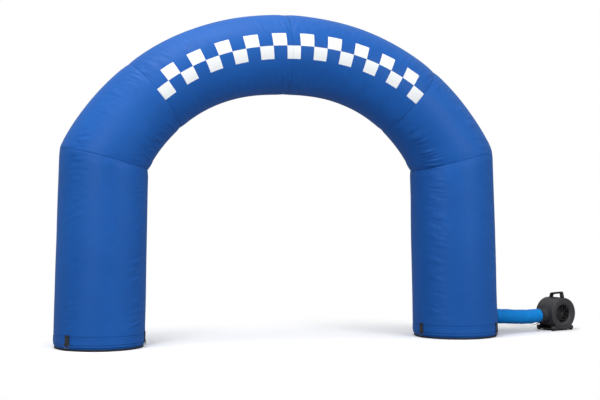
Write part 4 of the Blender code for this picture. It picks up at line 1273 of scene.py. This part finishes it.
def sleeve_points():
    """Even samples of the sleeve's centreline, from inside the leg onto the nozzle."""
    end = BLOWER @ Vector((-NOZZLE_REACH + SLEEVE_LAP, 0, NOZZLE_HEIGHT))
    tip = BLOWER @ Vector((-NOZZLE_REACH - SLEEVE_CLEAR, 0, NOZZLE_HEIGHT))
    level = Vector((math.cos(INLET_TURN), math.sin(INLET_TURN), 0))
    foot = MIDDLE + LEG_FOOT + LEG_AXIS * (INLET_HEIGHT / LEG_AXIS.z)
    start = foot + level * (FOOT_RADIUS - SLEEVE_ROOT)
    out = (level - Vector((0, 0, SLEEVE_FALL))).normalized()
    inward = (end - tip).normalized()
    reach = (tip - start).length / 3
    pulls = (start, start + out * reach, tip - inward * reach, tip)
    curve = [bezier(*pulls, i / SLEEVE_SAMPLES) for i in range(SLEEVE_SAMPLES + 1)]
    straight = (end - tip).length
    samples = range(1, STRAIGHT_SAMPLES + 1)
    return curve + [tip + inward * straight * i / STRAIGHT_SAMPLES for i in samples]


SLEEVE_LINE = sleeve_points()
SLEEVE_STEPS = running_lengths(SLEEVE_LINE)
SLEEVE_END = SLEEVE_STEPS[-1]
print("sleeve's line", round(SLEEVE_END, 3), "m")


def sleeve_at(distance):
    """The centreline's place and direction at a distance from its start."""
    last = len(SLEEVE_STEPS) - 2
    i = min(max(sum(1 for step in SLEEVE_STEPS if step <= distance) - 1, 0), last)
    share = (distance - SLEEVE_STEPS[i]) / (SLEEVE_STEPS[i + 1] - SLEEVE_STEPS[i])
    low, high = max(i - 2, 0), min(i + 3, last + 1)
    along = (SLEEVE_LINE[high] - SLEEVE_LINE[low]).normalized()
    return SLEEVE_LINE[i].lerp(SLEEVE_LINE[i + 1], share), along


def sleeve_point(distance, angle, radius):
    centre, along = sleeve_at(distance)
    side = Vector((0, 0, 1)).cross(along).normalized()
    up = along.cross(side)
    return centre + side * (radius * math.cos(angle)) + up * (radius * math.sin(angle))


# %% Sleeve folds
FLANGE = ((0, 0.017), (1, 0.009), (2, 0.002))
SEAT_LIFT = 0.0036
NOZZLE_HOLD = 0.130
CINCH_FROM_END = 0.017
CINCH_WIDTH = 0.032
NOZZLE_LIMIT = -0.0010
ROOT_FLARE, SLEEVE_BELLY, SLEEVE_SAG = 0.0045, 0.0040, 0.0060
SLEEVE_ROWS, SLEEVE_AROUND = 130, 112
ROOT_SEARCH, ROOT_HALVINGS = 0.30, 24
GATHER_PITCH, GATHER_LENGTH, GATHER_SEED = 0.030, 0.20, 71.3
ROOT_GATHER, ROOT_GATHER_REACH, ROOT_FLARE_REACH = 0.0030, 0.07, 0.060
CINCH_GATHER, CINCH_GATHER_REACH, CINCH_DRAW = 0.0028, 0.075, 0.0010
FREE_ROOT, FREE_END = (0, 0.06), (0.10, 0.17)
SLACK, SLACK_PITCH, SLACK_ROUND, SLACK_SEED = 0.0032, 9.0, 1.3, 5
DIAGONAL, DIAGONAL_PITCH, DIAGONAL_LENGTH, DIAGONAL_SEED = 0.0022, 0.11, 0.35, 88.1


def root_distance(angle, radius):
    """How far along the sleeve a line of its cloth leaves the leg's surface."""
    low, high = 0.0, ROOT_SEARCH
    for _ in range(ROOT_HALVINGS):
        middle = (low + high) / 2
        point = sleeve_point(middle, angle, radius) - MIDDLE
        centre, _, _, leg_radius = leg_frame(point.z / LEG_AXIS.z)
        away = Vector((point.x - centre.x, point.y, 0)).length
        low, high = (low, middle) if away > leg_radius + SEAT_LIFT else (middle, high)
    return high


def sleeve_lift(distance, from_root, angle):
    """Gathers at both ends, a drawn-in root, and slow slack folds between."""
    around = angle * SLEEVE_RADIUS
    from_end = SLEEVE_END - distance
    gathers = fold_wave(around, distance, GATHER_PITCH, GATHER_LENGTH, GATHER_SEED)
    lift = ROOT_GATHER * gathers * fade(from_root, ROOT_GATHER_REACH)
    lift += ROOT_FLARE * fade(from_root, ROOT_FLARE_REACH) * (1 + math.sin(angle))
    cinch = from_end - CINCH_FROM_END
    held = fade(cinch, CINCH_WIDTH / 2)
    lift += CINCH_GATHER * gathers * fade(cinch, CINCH_GATHER_REACH) * (1 - held)
    lift -= CINCH_DRAW * held
    x, y = math.cos(angle) * SLACK_ROUND, math.sin(angle) * SLACK_ROUND
    slack = noise.noise(Vector((distance * SLACK_PITCH, x, y + SLACK_SEED)))
    slanted = distance + 0.5 * around
    diagonal = fold_wave(slanted, around, DIAGONAL_PITCH, DIAGONAL_LENGTH, DIAGONAL_SEED)
    free = ease(from_root, *FREE_ROOT) * ease(from_end, *FREE_END)
    lift += (SLACK * slack + DIAGONAL * diagonal + SLEEVE_BELLY) * free
    lift -= SLEEVE_SAG * math.sin(angle) * free
    return max(lift, NOZZLE_LIMIT) if from_end < NOZZLE_HOLD else lift


# %% Make the sleeve
ROOT_STEP = 0.0015
NO_GORE = 0.3


def make_sleeve():
    """The flange's rows lie on the leg, and the others follow the sleeve's line."""
    flare = dict(FLANGE)
    roots = {}

    def angle_of(step):
        return math.tau * step / SLEEVE_AROUND

    def along_at(row, step):
        more = flare.get(row, 0.0)
        key = (step % SLEEVE_AROUND, more)
        if key not in roots:
            roots[key] = root_distance(angle_of(step), SLEEVE_RADIUS + more)
        flat_rows = len(FLANGE)
        share = max(row - flat_rows, 0) / (SLEEVE_ROWS - 1 - flat_rows)
        start = roots[key] + (ROOT_STEP * row / flat_rows if row <= flat_rows else ROOT_STEP)
        return start + (SLEEVE_END - start) * share, roots[key], more

    def place(row, step):
        distance, root, more = along_at(row, step)
        lift = 0.0 if more else sleeve_lift(distance, distance - root, angle_of(step))
        return sleeve_point(distance, angle_of(step), SLEEVE_RADIUS + more + lift)

    def pattern(row, step):
        return (along_at(row, step)[0], angle_of(step) * SLEEVE_RADIUS)

    def seams(row, step):
        distance, root, _ = along_at(row, step)
        return (min(distance - root, SLEEVE_END - distance), NO_GORE)

    bm = tube_mesh(SLEEVE_ROWS, SLEEVE_AROUND, place, {CLOTH_UV: pattern, SEAM_UV: seams})
    sleeve = add_wall(finish_mesh("air_sleeve_cloth", bm, SLEEVE_CLOTH), CLOTH)
    dress(sleeve, "sleeve_cloth", "sleeve")


make_sleeve()

# %% [markdown]
# ## The cinch strap
# A narrow strap pulls the sleeve tight onto the nozzle. It goes once round, and its free end hangs
# below. It is a strip bent round the nozzle's line, then led down and back as loose webbing falls.

# %% Make the cinch strap
CINCH_REACH = 0.285
CINCH_TAIL, CINCH_DROP = 0.130, 0.040
CINCH_STEPS, TAIL_STEPS, CINCH_COLUMNS = 72, 16, 7
TAIL_CLEAR = 0.0008
PAST_STITCHES = 1.0


def nozzle_frame(reach):
    """On the nozzle's line, at a distance from the drum's middle. Z points outwards."""
    turn = Matrix.Rotation(-math.pi / 2, 4, "Y")
    return BLOWER @ Matrix.Translation((-reach, 0, NOZZLE_HEIGHT)) @ turn


def make_cinch():
    here = nozzle_frame(CINCH_REACH)
    radius = SLEEVE_RADIUS + GAP + WEBBING_THICKNESS / 2
    path = []
    for i in range(CINCH_STEPS):
        turn = math.pi + math.tau * (i / CINCH_STEPS)
        path.append((radius * math.cos(turn), radius * math.sin(turn)))
    path.reverse()
    for i in range(TAIL_STEPS + 1):
        share = i / TAIL_STEPS
        drop = CINCH_DROP * share * (2 - share) + TAIL_CLEAR
        path.append((-radius - drop, CINCH_TAIL * share))
    lengths = [0.0]
    for before, after in zip(path, path[1:]):
        lengths.append(lengths[-1] + math.dist(before, after))

    def place(point, across):
        return here @ Vector((point[0], point[1], across))

    heights = [length + PAST_STITCHES for length in lengths]
    bm = strip_mesh(path, CINCH_WIDTH, CINCH_COLUMNS, place, heights)
    webbing_piece("cinch_strap", bm)
    print("cinch strap", round(lengths[-1], 3), "m of webbing")


make_cinch()

# %% [markdown]
# ## The blower's housing
# A plastic drum holds the fan, and a short nozzle leaves its left side. Both are round, so each is
# spun from its section, and joined and bored as a mould would leave them: nozzle on, drum hollowed,
# bore cut. Low ribs stiffen the drum, and slots behind let the motor breathe.

# %% Frames and solid helpers
DRUM = BLOWER @ Matrix.Translation((0, 0, DRUM_HEIGHT)) @ Matrix.Rotation(math.pi / 2, 4, "X")
DRUM_LENGTH = 0.312
FRONT = DRUM_LENGTH / 2
DRUM_STEPS = 144


def on_drum(height):
    return DRUM @ Matrix.Translation((0, 0, height))


def settle(obj):
    """Keeps what the modifiers make as the piece's own mesh."""
    graph = bpy.context.evaluated_depsgraph_get()
    mesh = bpy.data.meshes.new_from_object(obj.evaluated_get(graph))
    obj.modifiers.clear()
    obj.data = mesh
    return obj


def carve(obj, *steps):
    """Joins or cuts whole shapes, one (operation, tool) at a time, and removes the tools."""
    for operation, tool in steps:
        cut = obj.modifiers.new(operation.lower(), "BOOLEAN")
        cut.operation, cut.solver, cut.object = operation, "EXACT", tool
    settle(obj)
    for _, tool in steps:
        bpy.data.objects.remove(tool)
    return obj


def shaded(obj):
    """Smooth shading that keeps the edges left by joining and cutting."""
    obj.data.shade_smooth()
    obj.data.set_sharp_from_angle(angle=math.radians(32))
    return obj


def one_material(obj, material):
    """Leaves a joined piece with a single material."""
    obj.data.materials.clear()
    obj.data.materials.append(material)
    return obj


def rod(name, radius, low, high, place, rounding=0.0):
    section = [(0, low), (radius, low), (radius, high), (0, high)]
    return finish_mesh(name, spun(section, DRUM_STEPS, rounding), HOUSING, 40, place)


def brick(name, size, centre, place, rounding=0.0):
    """A block with rounded edges, at a place in a frame."""
    bm = bmesh.new()
    bmesh.ops.create_cube(bm, size=1)
    bmesh.ops.scale(bm, vec=size, verts=bm.verts)
    bmesh.ops.translate(bm, vec=centre, verts=bm.verts)
    if rounding:
        round_off(bm, bm.edges[:], rounding, 5, "EDGES")
    return finish_mesh(name, bm, HOUSING, 40, place)


# %% Housing
DRUM_WALL = 0.004
DRUM_EDGE = 0.018
PANEL_RADIUS, PANEL_SLOPE, PANEL_RISE = 0.112, 0.010, 0.008
RIB_HEIGHT, RIB_WIDTH = 0.0018, 0.006
RIBS = (-0.088, 0.030)
SLOTS, SLOT_LENGTH, SLOT_WIDTH, SLOT_MIDDLE = 28, 0.034, 0.005, 0.080
NOZZLE_RADIUS = SLEEVE_RADIUS - 0.002 - GAP
NOZZLE_WALL = 0.004
NOZZLE_ROOT, BORE_ROOT = DRUM_RADIUS - 0.050, DRUM_RADIUS - 0.080
COLLAR_RADIUS, COLLAR_REACH = NOZZLE_RADIUS + 0.010, DRUM_RADIUS + 0.010
CUT_SPARE = 0.01


def housing_section():
    """Down the outside from the front lip to the back's middle, and up the inside."""
    outside = [(DRUM_RADIUS, FRONT)]
    ridge = DRUM_RADIUS + RIB_HEIGHT
    for rib in sorted(RIBS, reverse=True):
        outside += [(DRUM_RADIUS, rib + RIB_WIDTH), (ridge, rib + RIB_WIDTH * 0.7)]
        outside += [(ridge, rib - RIB_WIDTH * 0.7), (DRUM_RADIUS, rib - RIB_WIDTH)]
    back, cut = -FRONT, DRUM_EDGE * 0.3
    outside += [(DRUM_RADIUS, back + DRUM_EDGE), (DRUM_RADIUS - cut, back + cut)]
    outside += [(DRUM_RADIUS - DRUM_EDGE, back), (PANEL_RADIUS + 0.045, back)]
    outside += [(PANEL_RADIUS + 0.043, back - 0.002), (PANEL_RADIUS + 0.035, back - 0.002)]
    outside += [(PANEL_RADIUS + 0.033, back), (PANEL_RADIUS + PANEL_SLOPE, back)]
    outside += [(PANEL_RADIUS, back - PANEL_RISE), (0.030, back - PANEL_RISE)]
    outside += [(0.027, back - PANEL_RISE + 0.0015), (0, back - PANEL_RISE + 0.0015)]
    inner, floor, edge = DRUM_RADIUS - DRUM_WALL, -FRONT + DRUM_WALL, DRUM_EDGE - DRUM_WALL
    inside = [(0, floor - PANEL_RISE), (PANEL_RADIUS - 0.002, floor - PANEL_RISE)]
    inside += [(PANEL_RADIUS + PANEL_SLOPE - 0.002, floor), (inner - edge, floor)]
    inside += [(inner, floor + edge), (inner, FRONT)]
    return inside, outside


def slot_tool():
    """One mesh of thin radial bars that cut the vents half through the back panel."""
    bm = bmesh.new()
    for i in range(SLOTS):
        verts = bmesh.ops.create_cube(bm, size=1)["verts"]
        bmesh.ops.scale(bm, vec=(SLOT_LENGTH, SLOT_WIDTH, 0.006), verts=verts)
        bmesh.ops.translate(bm, vec=(SLOT_MIDDLE, 0, 0), verts=verts)
        turn = Matrix.Rotation(math.tau * i / SLOTS, 3, "Z")
        bmesh.ops.rotate(bm, matrix=turn, verts=verts)
    return finish_mesh("slots", bm, HOUSING, place=on_drum(-FRONT - PANEL_RISE))


def make_housing():
    inside, outside = housing_section()
    full = outside[::-1] + [(0, FRONT)]
    hollow = inside[:-1] + [(inside[-1][0], FRONT + CUT_SPARE), (0, FRONT + CUT_SPARE)]
    shell = spun(full, DRUM_STEPS, 0.0006, segments=2)
    housing = finish_mesh("housing_shell", shell, HOUSING, place=DRUM)
    cavity = finish_mesh("cavity", spun(hollow, DRUM_STEPS), HOUSING, place=DRUM)
    line = nozzle_frame(0)
    nozzle = rod("nozzle", NOZZLE_RADIUS, NOZZLE_ROOT, NOZZLE_REACH, line, 0.0015)
    collar = rod("collar", COLLAR_RADIUS, NOZZLE_ROOT, COLLAR_REACH, line, 0.004)
    bore_radius = NOZZLE_RADIUS - NOZZLE_WALL
    bore = rod("bore", bore_radius, BORE_ROOT, NOZZLE_REACH + CUT_SPARE, line)
    carve(
        housing,
        ("UNION", nozzle),
        ("UNION", collar),
        ("DIFFERENCE", cavity),
        ("DIFFERENCE", bore),
        ("DIFFERENCE", slot_tool()),
    )
    dress(shaded(housing), "housing_plastic", "housing")
    print("drum", 2 * DRUM_RADIUS, "m across,", len(housing.data.polygons), "faces")


make_housing()

# %% [markdown]
# ## Intake ring, grille and back screws
# The front cover laps over the drum's edge and turns in to a rounded throat. A notch in its rim
# takes the catch that holds it. The grille is three rings on eight spokes round a small disc, set
# back in the throat, close enough to keep fingers out. Rings are spun from small round sections.

# %% Intake ring
RIM_LAP, RIM_STEP = 0.014, 0.004
THROAT_RADIUS, THROAT_WALL = 0.1175, 0.003
NOTCH_TURN = math.radians(30)
NOTCH = (0.020, 0.016, 0.050)
SCREW_TURNS = (12, 102, 192, 282)
SCREWS = (
    # (where, height on the drum, inset from its edge, turn that faces it outwards)
    ("cover", FRONT + 0.0115, 0.045, 0.0),
    ("panel", -FRONT - 0.0004, 0.062, math.pi),
)


def intake_section():
    rim, throat = DRUM_RADIUS + GAP, THROAT_RADIUS
    section = [(throat - THROAT_WALL, -0.024), (throat - 0.002, -0.012), (throat + 0.006, -0.002)]
    section += [(throat + 0.020, GAP), (rim, GAP), (rim, -RIM_LAP), (rim + RIM_STEP, -RIM_LAP)]
    section += [(rim + RIM_STEP, 0.005), (rim - 0.003, 0.012), (rim - 0.014, 0.014)]
    section += [(rim - 0.024, 0.0125), (rim - 0.026, 0.0105)]
    section += [(rim - 0.030, 0.0105), (rim - 0.032, 0.0125)]
    section += [(throat + 0.028, 0.0095), (throat + 0.010, 0.004)]
    section += [(throat + 0.001, -0.006), (throat, -0.024)]
    return section[::-1]


def make_intake_ring():
    bm = spun(intake_section(), DRUM_STEPS, 0.0008, closed=True, segments=2)
    cover = finish_mesh("intake_cover", bm, HOUSING, place=on_drum(FRONT))
    rim = DRUM_RADIUS + RIM_STEP
    turn = on_drum(FRONT) @ Matrix.Rotation(-NOTCH_TURN, 4, "Z")
    notch = brick("notch", NOTCH, (0, rim, 0), turn, 0.003)
    carve(cover, ("DIFFERENCE", notch))
    dress(shaded(cover), "housing_plastic", "intake_ring")


def make_screws():
    """Pan head screws on the cover's face and round the motor's panel."""
    head = [(0, 0.0042), (0.0018, 0.0042), (0.0018, 0.0030), (0.0030, 0.0040), (0.0050, 0.0030)]
    head += [(0.0062, 0.0008), (0.0062, -0.0012), (0, -0.0012)]
    for where, height, inset, flip in SCREWS:
        for turn in SCREW_TURNS:
            place = on_drum(height) @ Matrix.Rotation(math.radians(turn), 4, "Z")
            place = place @ Matrix.Translation((DRUM_RADIUS - inset, 0, 0))
            place = place @ Matrix.Rotation(flip, 4, "X")
            screw = finish_mesh(f"{where}_screw_{turn}", spun(head[::-1], 20), HANDLE, 30, place)
            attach(screw, ARCH)


make_intake_ring()
make_screws()

# %% Grille
GRILLE_SETBACK = 0.018
GRILLE_BAR, GRILLE_DEPTH = 0.0035, 0.004
GRILLE_HUB, GRILLE_RINGS, GRILLE_SPOKES = 0.017, 3, 8


def make_grille():
    outer = THROAT_RADIUS - THROAT_WALL - GAP
    pitch = (outer - GRILLE_HUB) / GRILLE_RINGS
    half = GRILLE_DEPTH / 2
    place = on_drum(FRONT - GRILLE_SETBACK)
    hub = [(0, half + 0.0014), (0.006, half + 0.0014), (0.008, half), (GRILLE_HUB, half)]
    hub += [(GRILLE_HUB, -half), (0, -half)]
    grille = finish_mesh("grille_guard", spun(hub[::-1], 72, 0.0006), GRILLE, place=place)
    tools = []
    for i in range(1, GRILLE_RINGS + 1):
        edge = GRILLE_HUB + pitch * i
        ring = [(edge - GRILLE_BAR, -half), (edge, -half), (edge, half), (edge - GRILLE_BAR, half)]
        bm = spun(ring, 96, 0.0009, closed=True, segments=2)
        tools.append(("UNION", finish_mesh(f"grille_ring_{i}", bm, GRILLE, place=place)))
    for i in range(GRILLE_SPOKES // 2):
        turned = place @ Matrix.Rotation(math.tau * i / GRILLE_SPOKES, 4, "Z")
        size = (2 * outer - GRILLE_BAR, GRILLE_BAR, GRILLE_DEPTH * 0.7)
        tools.append(("UNION", brick(f"spoke_{i}", size, (0, 0, 0), turned, 0.0009)))
    carve(grille, *tools)
    dress(shaded(one_material(grille, GRILLE)), "grille_plastic", "grille")
    print("grille bars", GRILLE_BAR, "m wide, gaps", round(pitch - GRILLE_BAR, 4), "m")


make_grille()

# %% [markdown]
# ## The fan wheel and its motor
# Behind the grille a wheel with forward-curved blades turns on the motor's shaft. It rides on its
# own body, so it spins when the arch is simulated. Discs and rings are spun, and each blade is a
# curved strip drawn up along the axis.

# %% Fan wheel
WHEEL_RADIUS, WHEEL_WIDTH, WHEEL_SETBACK = 0.135, 0.100, 0.036
WHEEL_BACK = FRONT - WHEEL_SETBACK - WHEEL_WIDTH
WHEEL_BLADES = 16
HUB_RADIUS, HUB_HEIGHT, SHAFT_RADIUS = 0.028, 0.040, 0.007
BLADE_CURVE, BLADE_THICKNESS = (60, 200), 0.0022
BLADE_CENTRE, BLADE_RADIUS = (WHEEL_RADIUS - 0.011, -0.004), 0.0083
BLADE_STEPS, BLADE_LOW, BLADE_HIGH = 6, 0.003, WHEEL_WIDTH - 0.003
WHEEL_BAND = (0.020, 0.006)


def arc(centre, radius, start, end, steps):
    """Points on an arc, between two angles in degrees."""
    turns = [math.radians(start + (end - start) * i / steps) for i in range(steps + 1)]
    return [(centre[0] + radius * math.cos(t), centre[1] + radius * math.sin(t)) for t in turns]


def draw_up(bm, made, height):
    """Moves the points that an extrusion made up by the height."""
    moved = [item for item in made["geom"] if isinstance(item, bmesh.types.BMVert)]
    bmesh.ops.translate(bm, vec=(0, 0, height), verts=moved)
    bmesh.ops.recalc_face_normals(bm, faces=bm.faces)


def merge_shells(bm, other):
    """Moves another shell into this mesh."""
    mesh = bpy.data.meshes.new("shell")
    other.to_mesh(mesh)
    other.free()
    bm.from_mesh(mesh)
    bpy.data.meshes.remove(mesh)


def blade_shell():
    """One curved blade: an arc drawn up along the axis, with a wall."""
    bm = bmesh.new()
    line = arc(BLADE_CENTRE, BLADE_RADIUS, *BLADE_CURVE, BLADE_STEPS)
    verts = [bm.verts.new((x, y, BLADE_LOW)) for x, y in line]
    edges = [bm.edges.new(pair) for pair in zip(verts, verts[1:])]
    draw_up(bm, bmesh.ops.extrude_edge_only(bm, edges=edges), BLADE_HIGH - BLADE_LOW)
    bmesh.ops.solidify(bm, geom=bm.faces[:], thickness=BLADE_THICKNESS)
    return bm


def make_wheel():
    bore = SHAFT_RADIUS + GAP
    disc = [(bore, HUB_HEIGHT), (HUB_RADIUS - 0.006, HUB_HEIGHT), (HUB_RADIUS, HUB_HEIGHT - 0.006)]
    disc += [(HUB_RADIUS + 0.006, 0.006), (WHEEL_RADIUS, 0.004), (WHEEL_RADIUS, 0), (bore, 0)]
    inner, low = WHEEL_RADIUS - WHEEL_BAND[0], WHEEL_WIDTH - WHEEL_BAND[1]
    band = [(inner, WHEEL_WIDTH), (WHEEL_RADIUS, WHEEL_WIDTH), (WHEEL_RADIUS, low), (inner, low)]
    bm = spun(disc, 96, 0.0008, closed=True, segments=2)
    merge_shells(bm, spun(band, 96, 0.0008, closed=True, segments=2))
    for i in range(WHEEL_BLADES):
        blade = blade_shell()
        turn = Matrix.Rotation(math.tau * i / WHEEL_BLADES, 3, "Z")
        bmesh.ops.rotate(blade, matrix=turn, verts=blade.verts)
        merge_shells(bm, blade)
    wheel = finish_mesh("fan_wheel", bm, GRILLE, 32, on_drum(WHEEL_BACK))
    dress(wheel, "grille_plastic", "impeller", body=WHEEL)
    print(WHEEL_BLADES, "blades, wheel", 2 * WHEEL_RADIUS, "m across")


def make_motor():
    back = -FRONT + DRUM_WALL - PANEL_RISE + 2 * GAP
    front, body = WHEEL_BACK - 0.004, 0.052
    section = [(0, WHEEL_BACK + 0.034), (SHAFT_RADIUS, WHEEL_BACK + 0.034), (SHAFT_RADIUS, front)]
    section += [(body - 0.010, front), (body, front - 0.008)]
    for i in range(4):
        low = front - 0.012 - i * (front - 0.014 - back) / 4
        groove = body - 0.0012
        section += [(body, low), (groove, low - 0.001), (groove, low - 0.003), (body, low - 0.004)]
    section += [(body, back), (0, back)]
    motor = finish_mesh("motor_can", spun(section[::-1], 64, 0.0004, segments=2), MOTOR, 32, DRUM)
    dress(motor, "motor_metal", "motor")


make_wheel()
make_motor()

# %% [markdown]
# ## Handle, stand, feet and cord gland
# The handle is one moulded bar on two legs, drawn as its side view and given its width, then cut to
# sit on the drum. The stand is two saddle bars across the drum joined by a floor plate. Rubber
# feet carry it, and a gland behind is where the mains lead would leave.

# %% Handle
HANDLE_WIDTH, HANDLE_SPAN, HANDLE_SHIFT = 0.034, 0.270, 0.030
HANDLE_FRONT_RISE, HANDLE_BACK_RISE, HANDLE_BAR = 0.087, 0.064, 0.026
HANDLE_LEG, HANDLE_LEAN, HANDLE_CORNER = 0.042, 0.020, 0.031
HANDLE_SWEEP, HANDLE_FILLET, HANDLE_INSET = 84, 0.008, 0.010
HANDLE_EDGE, HANDLE_CUT_EDGE = 0.006, 0.0016


def prism(name, outline, depth, place, rounding=0.0):
    """A flat outline drawn out to both sides of its plane, with its edges rounded."""
    bm = bmesh.new()
    face = bm.faces.new([bm.verts.new((x, y, -depth / 2)) for x, y in outline])
    draw_up(bm, bmesh.ops.extrude_face_region(bm, geom=[face]), depth)
    if rounding:
        rims = [e for e in bm.edges if abs(e.verts[0].co.z - e.verts[1].co.z) < 0.0001]
        round_off(bm, rims, rounding, 4, "EDGES")
    return finish_mesh(name, bm, HANDLE, 40, place)


def drum_seat(name):
    """The space of the drum and its front rim, with the usual gap."""
    shell, rim, step = DRUM_RADIUS + GAP, DRUM_RADIUS + RIM_STEP + 2 * GAP, FRONT - RIM_LAP - GAP
    front, back = FRONT + 0.05, -FRONT - 0.05
    section = [(0, back), (shell, back), (shell, step), (rim, step), (rim, front), (0, front)]
    return finish_mesh(name, spun(section, DRUM_STEPS), HANDLE, place=DRUM)


def handle_outlines():
    """The handle's side view and the finger gap in it: X runs along the drum to its back."""
    half, top = HANDLE_SPAN / 2, DRUM_HEIGHT + DRUM_RADIUS
    front, back = top + HANDLE_FRONT_RISE, top + HANDLE_BACK_RISE
    edge, sweep = half - HANDLE_CORNER - HANDLE_LEAN, 180 - HANDLE_SWEEP
    outer = [(-half, top - 0.014), (half, top - 0.014)]
    outer += arc((edge, back - HANDLE_CORNER), HANDLE_CORNER, 0, HANDLE_SWEEP, 10)
    outer += arc((-edge, front - HANDLE_CORNER), HANDLE_CORNER, sweep, 180, 10)
    inner, fillet, inset = half - HANDLE_LEAN - HANDLE_LEG, HANDLE_FILLET, HANDLE_INSET
    gap = [(-inner - fillet, top + 0.006), (inner + fillet, top + 0.006)]
    gap += arc((inner - inset, back - HANDLE_BAR - fillet), fillet, 0, HANDLE_SWEEP, 6)
    gap += arc((-inner + inset, front - HANDLE_BAR - inset), fillet, sweep, 180, 6)
    return outer, gap


def make_handle():
    upright = Matrix.Rotation(math.pi / 2, 4, "Z") @ Matrix.Rotation(math.pi / 2, 4, "X")
    place = BLOWER @ Matrix.Translation((0, -HANDLE_SHIFT, 0)) @ upright
    outer, gap = handle_outlines()
    handle = prism("carrying_handle", outer, HANDLE_WIDTH, place, HANDLE_EDGE)
    carve(
        handle,
        ("DIFFERENCE", prism("finger_gap", gap, HANDLE_WIDTH * 2, place)),
        ("DIFFERENCE", drum_seat("handle_seat")),
    )
    dress(shaded(settle(soften(handle, HANDLE_CUT_EDGE))), "handle_plastic", "handle")


make_handle()

# %% Stand
BASE_WIDTH, BASE_DEPTH, FOOT_PAD = 0.370, 0.321, 0.012
SADDLE, SADDLE_EDGE = 0.052, 0.016
PLATE = (0.320, 0.291, 0.014)


def make_stand():
    stand = brick("blower_stand", PLATE, (0, 0, FOOT_PAD + 0.009), BLOWER, 0.003)
    steps = []
    for end in (-1, 1):
        centre = (0, end * (BASE_DEPTH - SADDLE) / 2, FOOT_PAD + SADDLE / 2)
        bar = brick(f"saddle_{end}", (BASE_WIDTH, SADDLE, SADDLE), centre, BLOWER, SADDLE_EDGE)
        steps.append(("UNION", bar))
    steps.append(("DIFFERENCE", drum_seat("stand_seat")))
    carve(stand, *steps)
    dress(shaded(one_material(stand, HOUSING)), "housing_plastic", "base")


make_stand()

# %% Feet and gland
FOOT_RADIUS_RUBBER = 0.024
FOOT_INSET = (0.030, 0.026)
GLAND_LENGTH, GLAND_SPOT = 0.020, (0.060, -0.145)


def make_feet():
    top, radius = FOOT_PAD - GAP, FOOT_RADIUS_RUBBER
    section = [(0, 0.0012), (0.010, 0.0012), (0.012, 0), (radius - 0.003, 0), (radius, 0.003)]
    neck = radius - 0.0015
    section += [(radius, 0.006), (neck, 0.0072), (neck, 0.0082), (radius, 0.0095)]
    section += [(radius, top), (0, top)]
    for across, x in (("left", -1), ("right", 1)):
        for depth, y in (("front", -1), ("back", 1)):
            spot = (x * (BASE_WIDTH / 2 - FOOT_INSET[0]), y * (BASE_DEPTH / 2 - FOOT_INSET[1]), 0)
            place, bm = BLOWER @ Matrix.Translation(spot), spun(section, 48, 0.0005)
            foot = finish_mesh(f"rubber_foot_{depth}_{across}", bm, RUBBER, 32, place)
            dress(foot, "foot_rubber", f"foot_{depth}_{across}")


def make_gland():
    seat = GLAND_LENGTH - GAP
    section = [(0, 0.003), (0.0035, 0.003), (0.0035, 0), (0.006, 0)]
    for i in range(3):
        section += [(0.0068 + 0.0006 * i, 0.002 + 0.003 * i), (0.0060 + 0.0006 * i, 0.003 + 0.003 * i)]
    section += [(0.009, 0.011), (0.009, 0.013), (0.013, 0.014), (0.013, seat), (0, seat)]
    place = DRUM @ Matrix.Translation((*GLAND_SPOT, -FRONT - GLAND_LENGTH))
    gland = finish_mesh("cord_gland_boot", spun(section, 32, 0.0003), HANDLE, 32, place)
    dress(gland, "handle_plastic", "cord_gland")


make_feet()
make_gland()
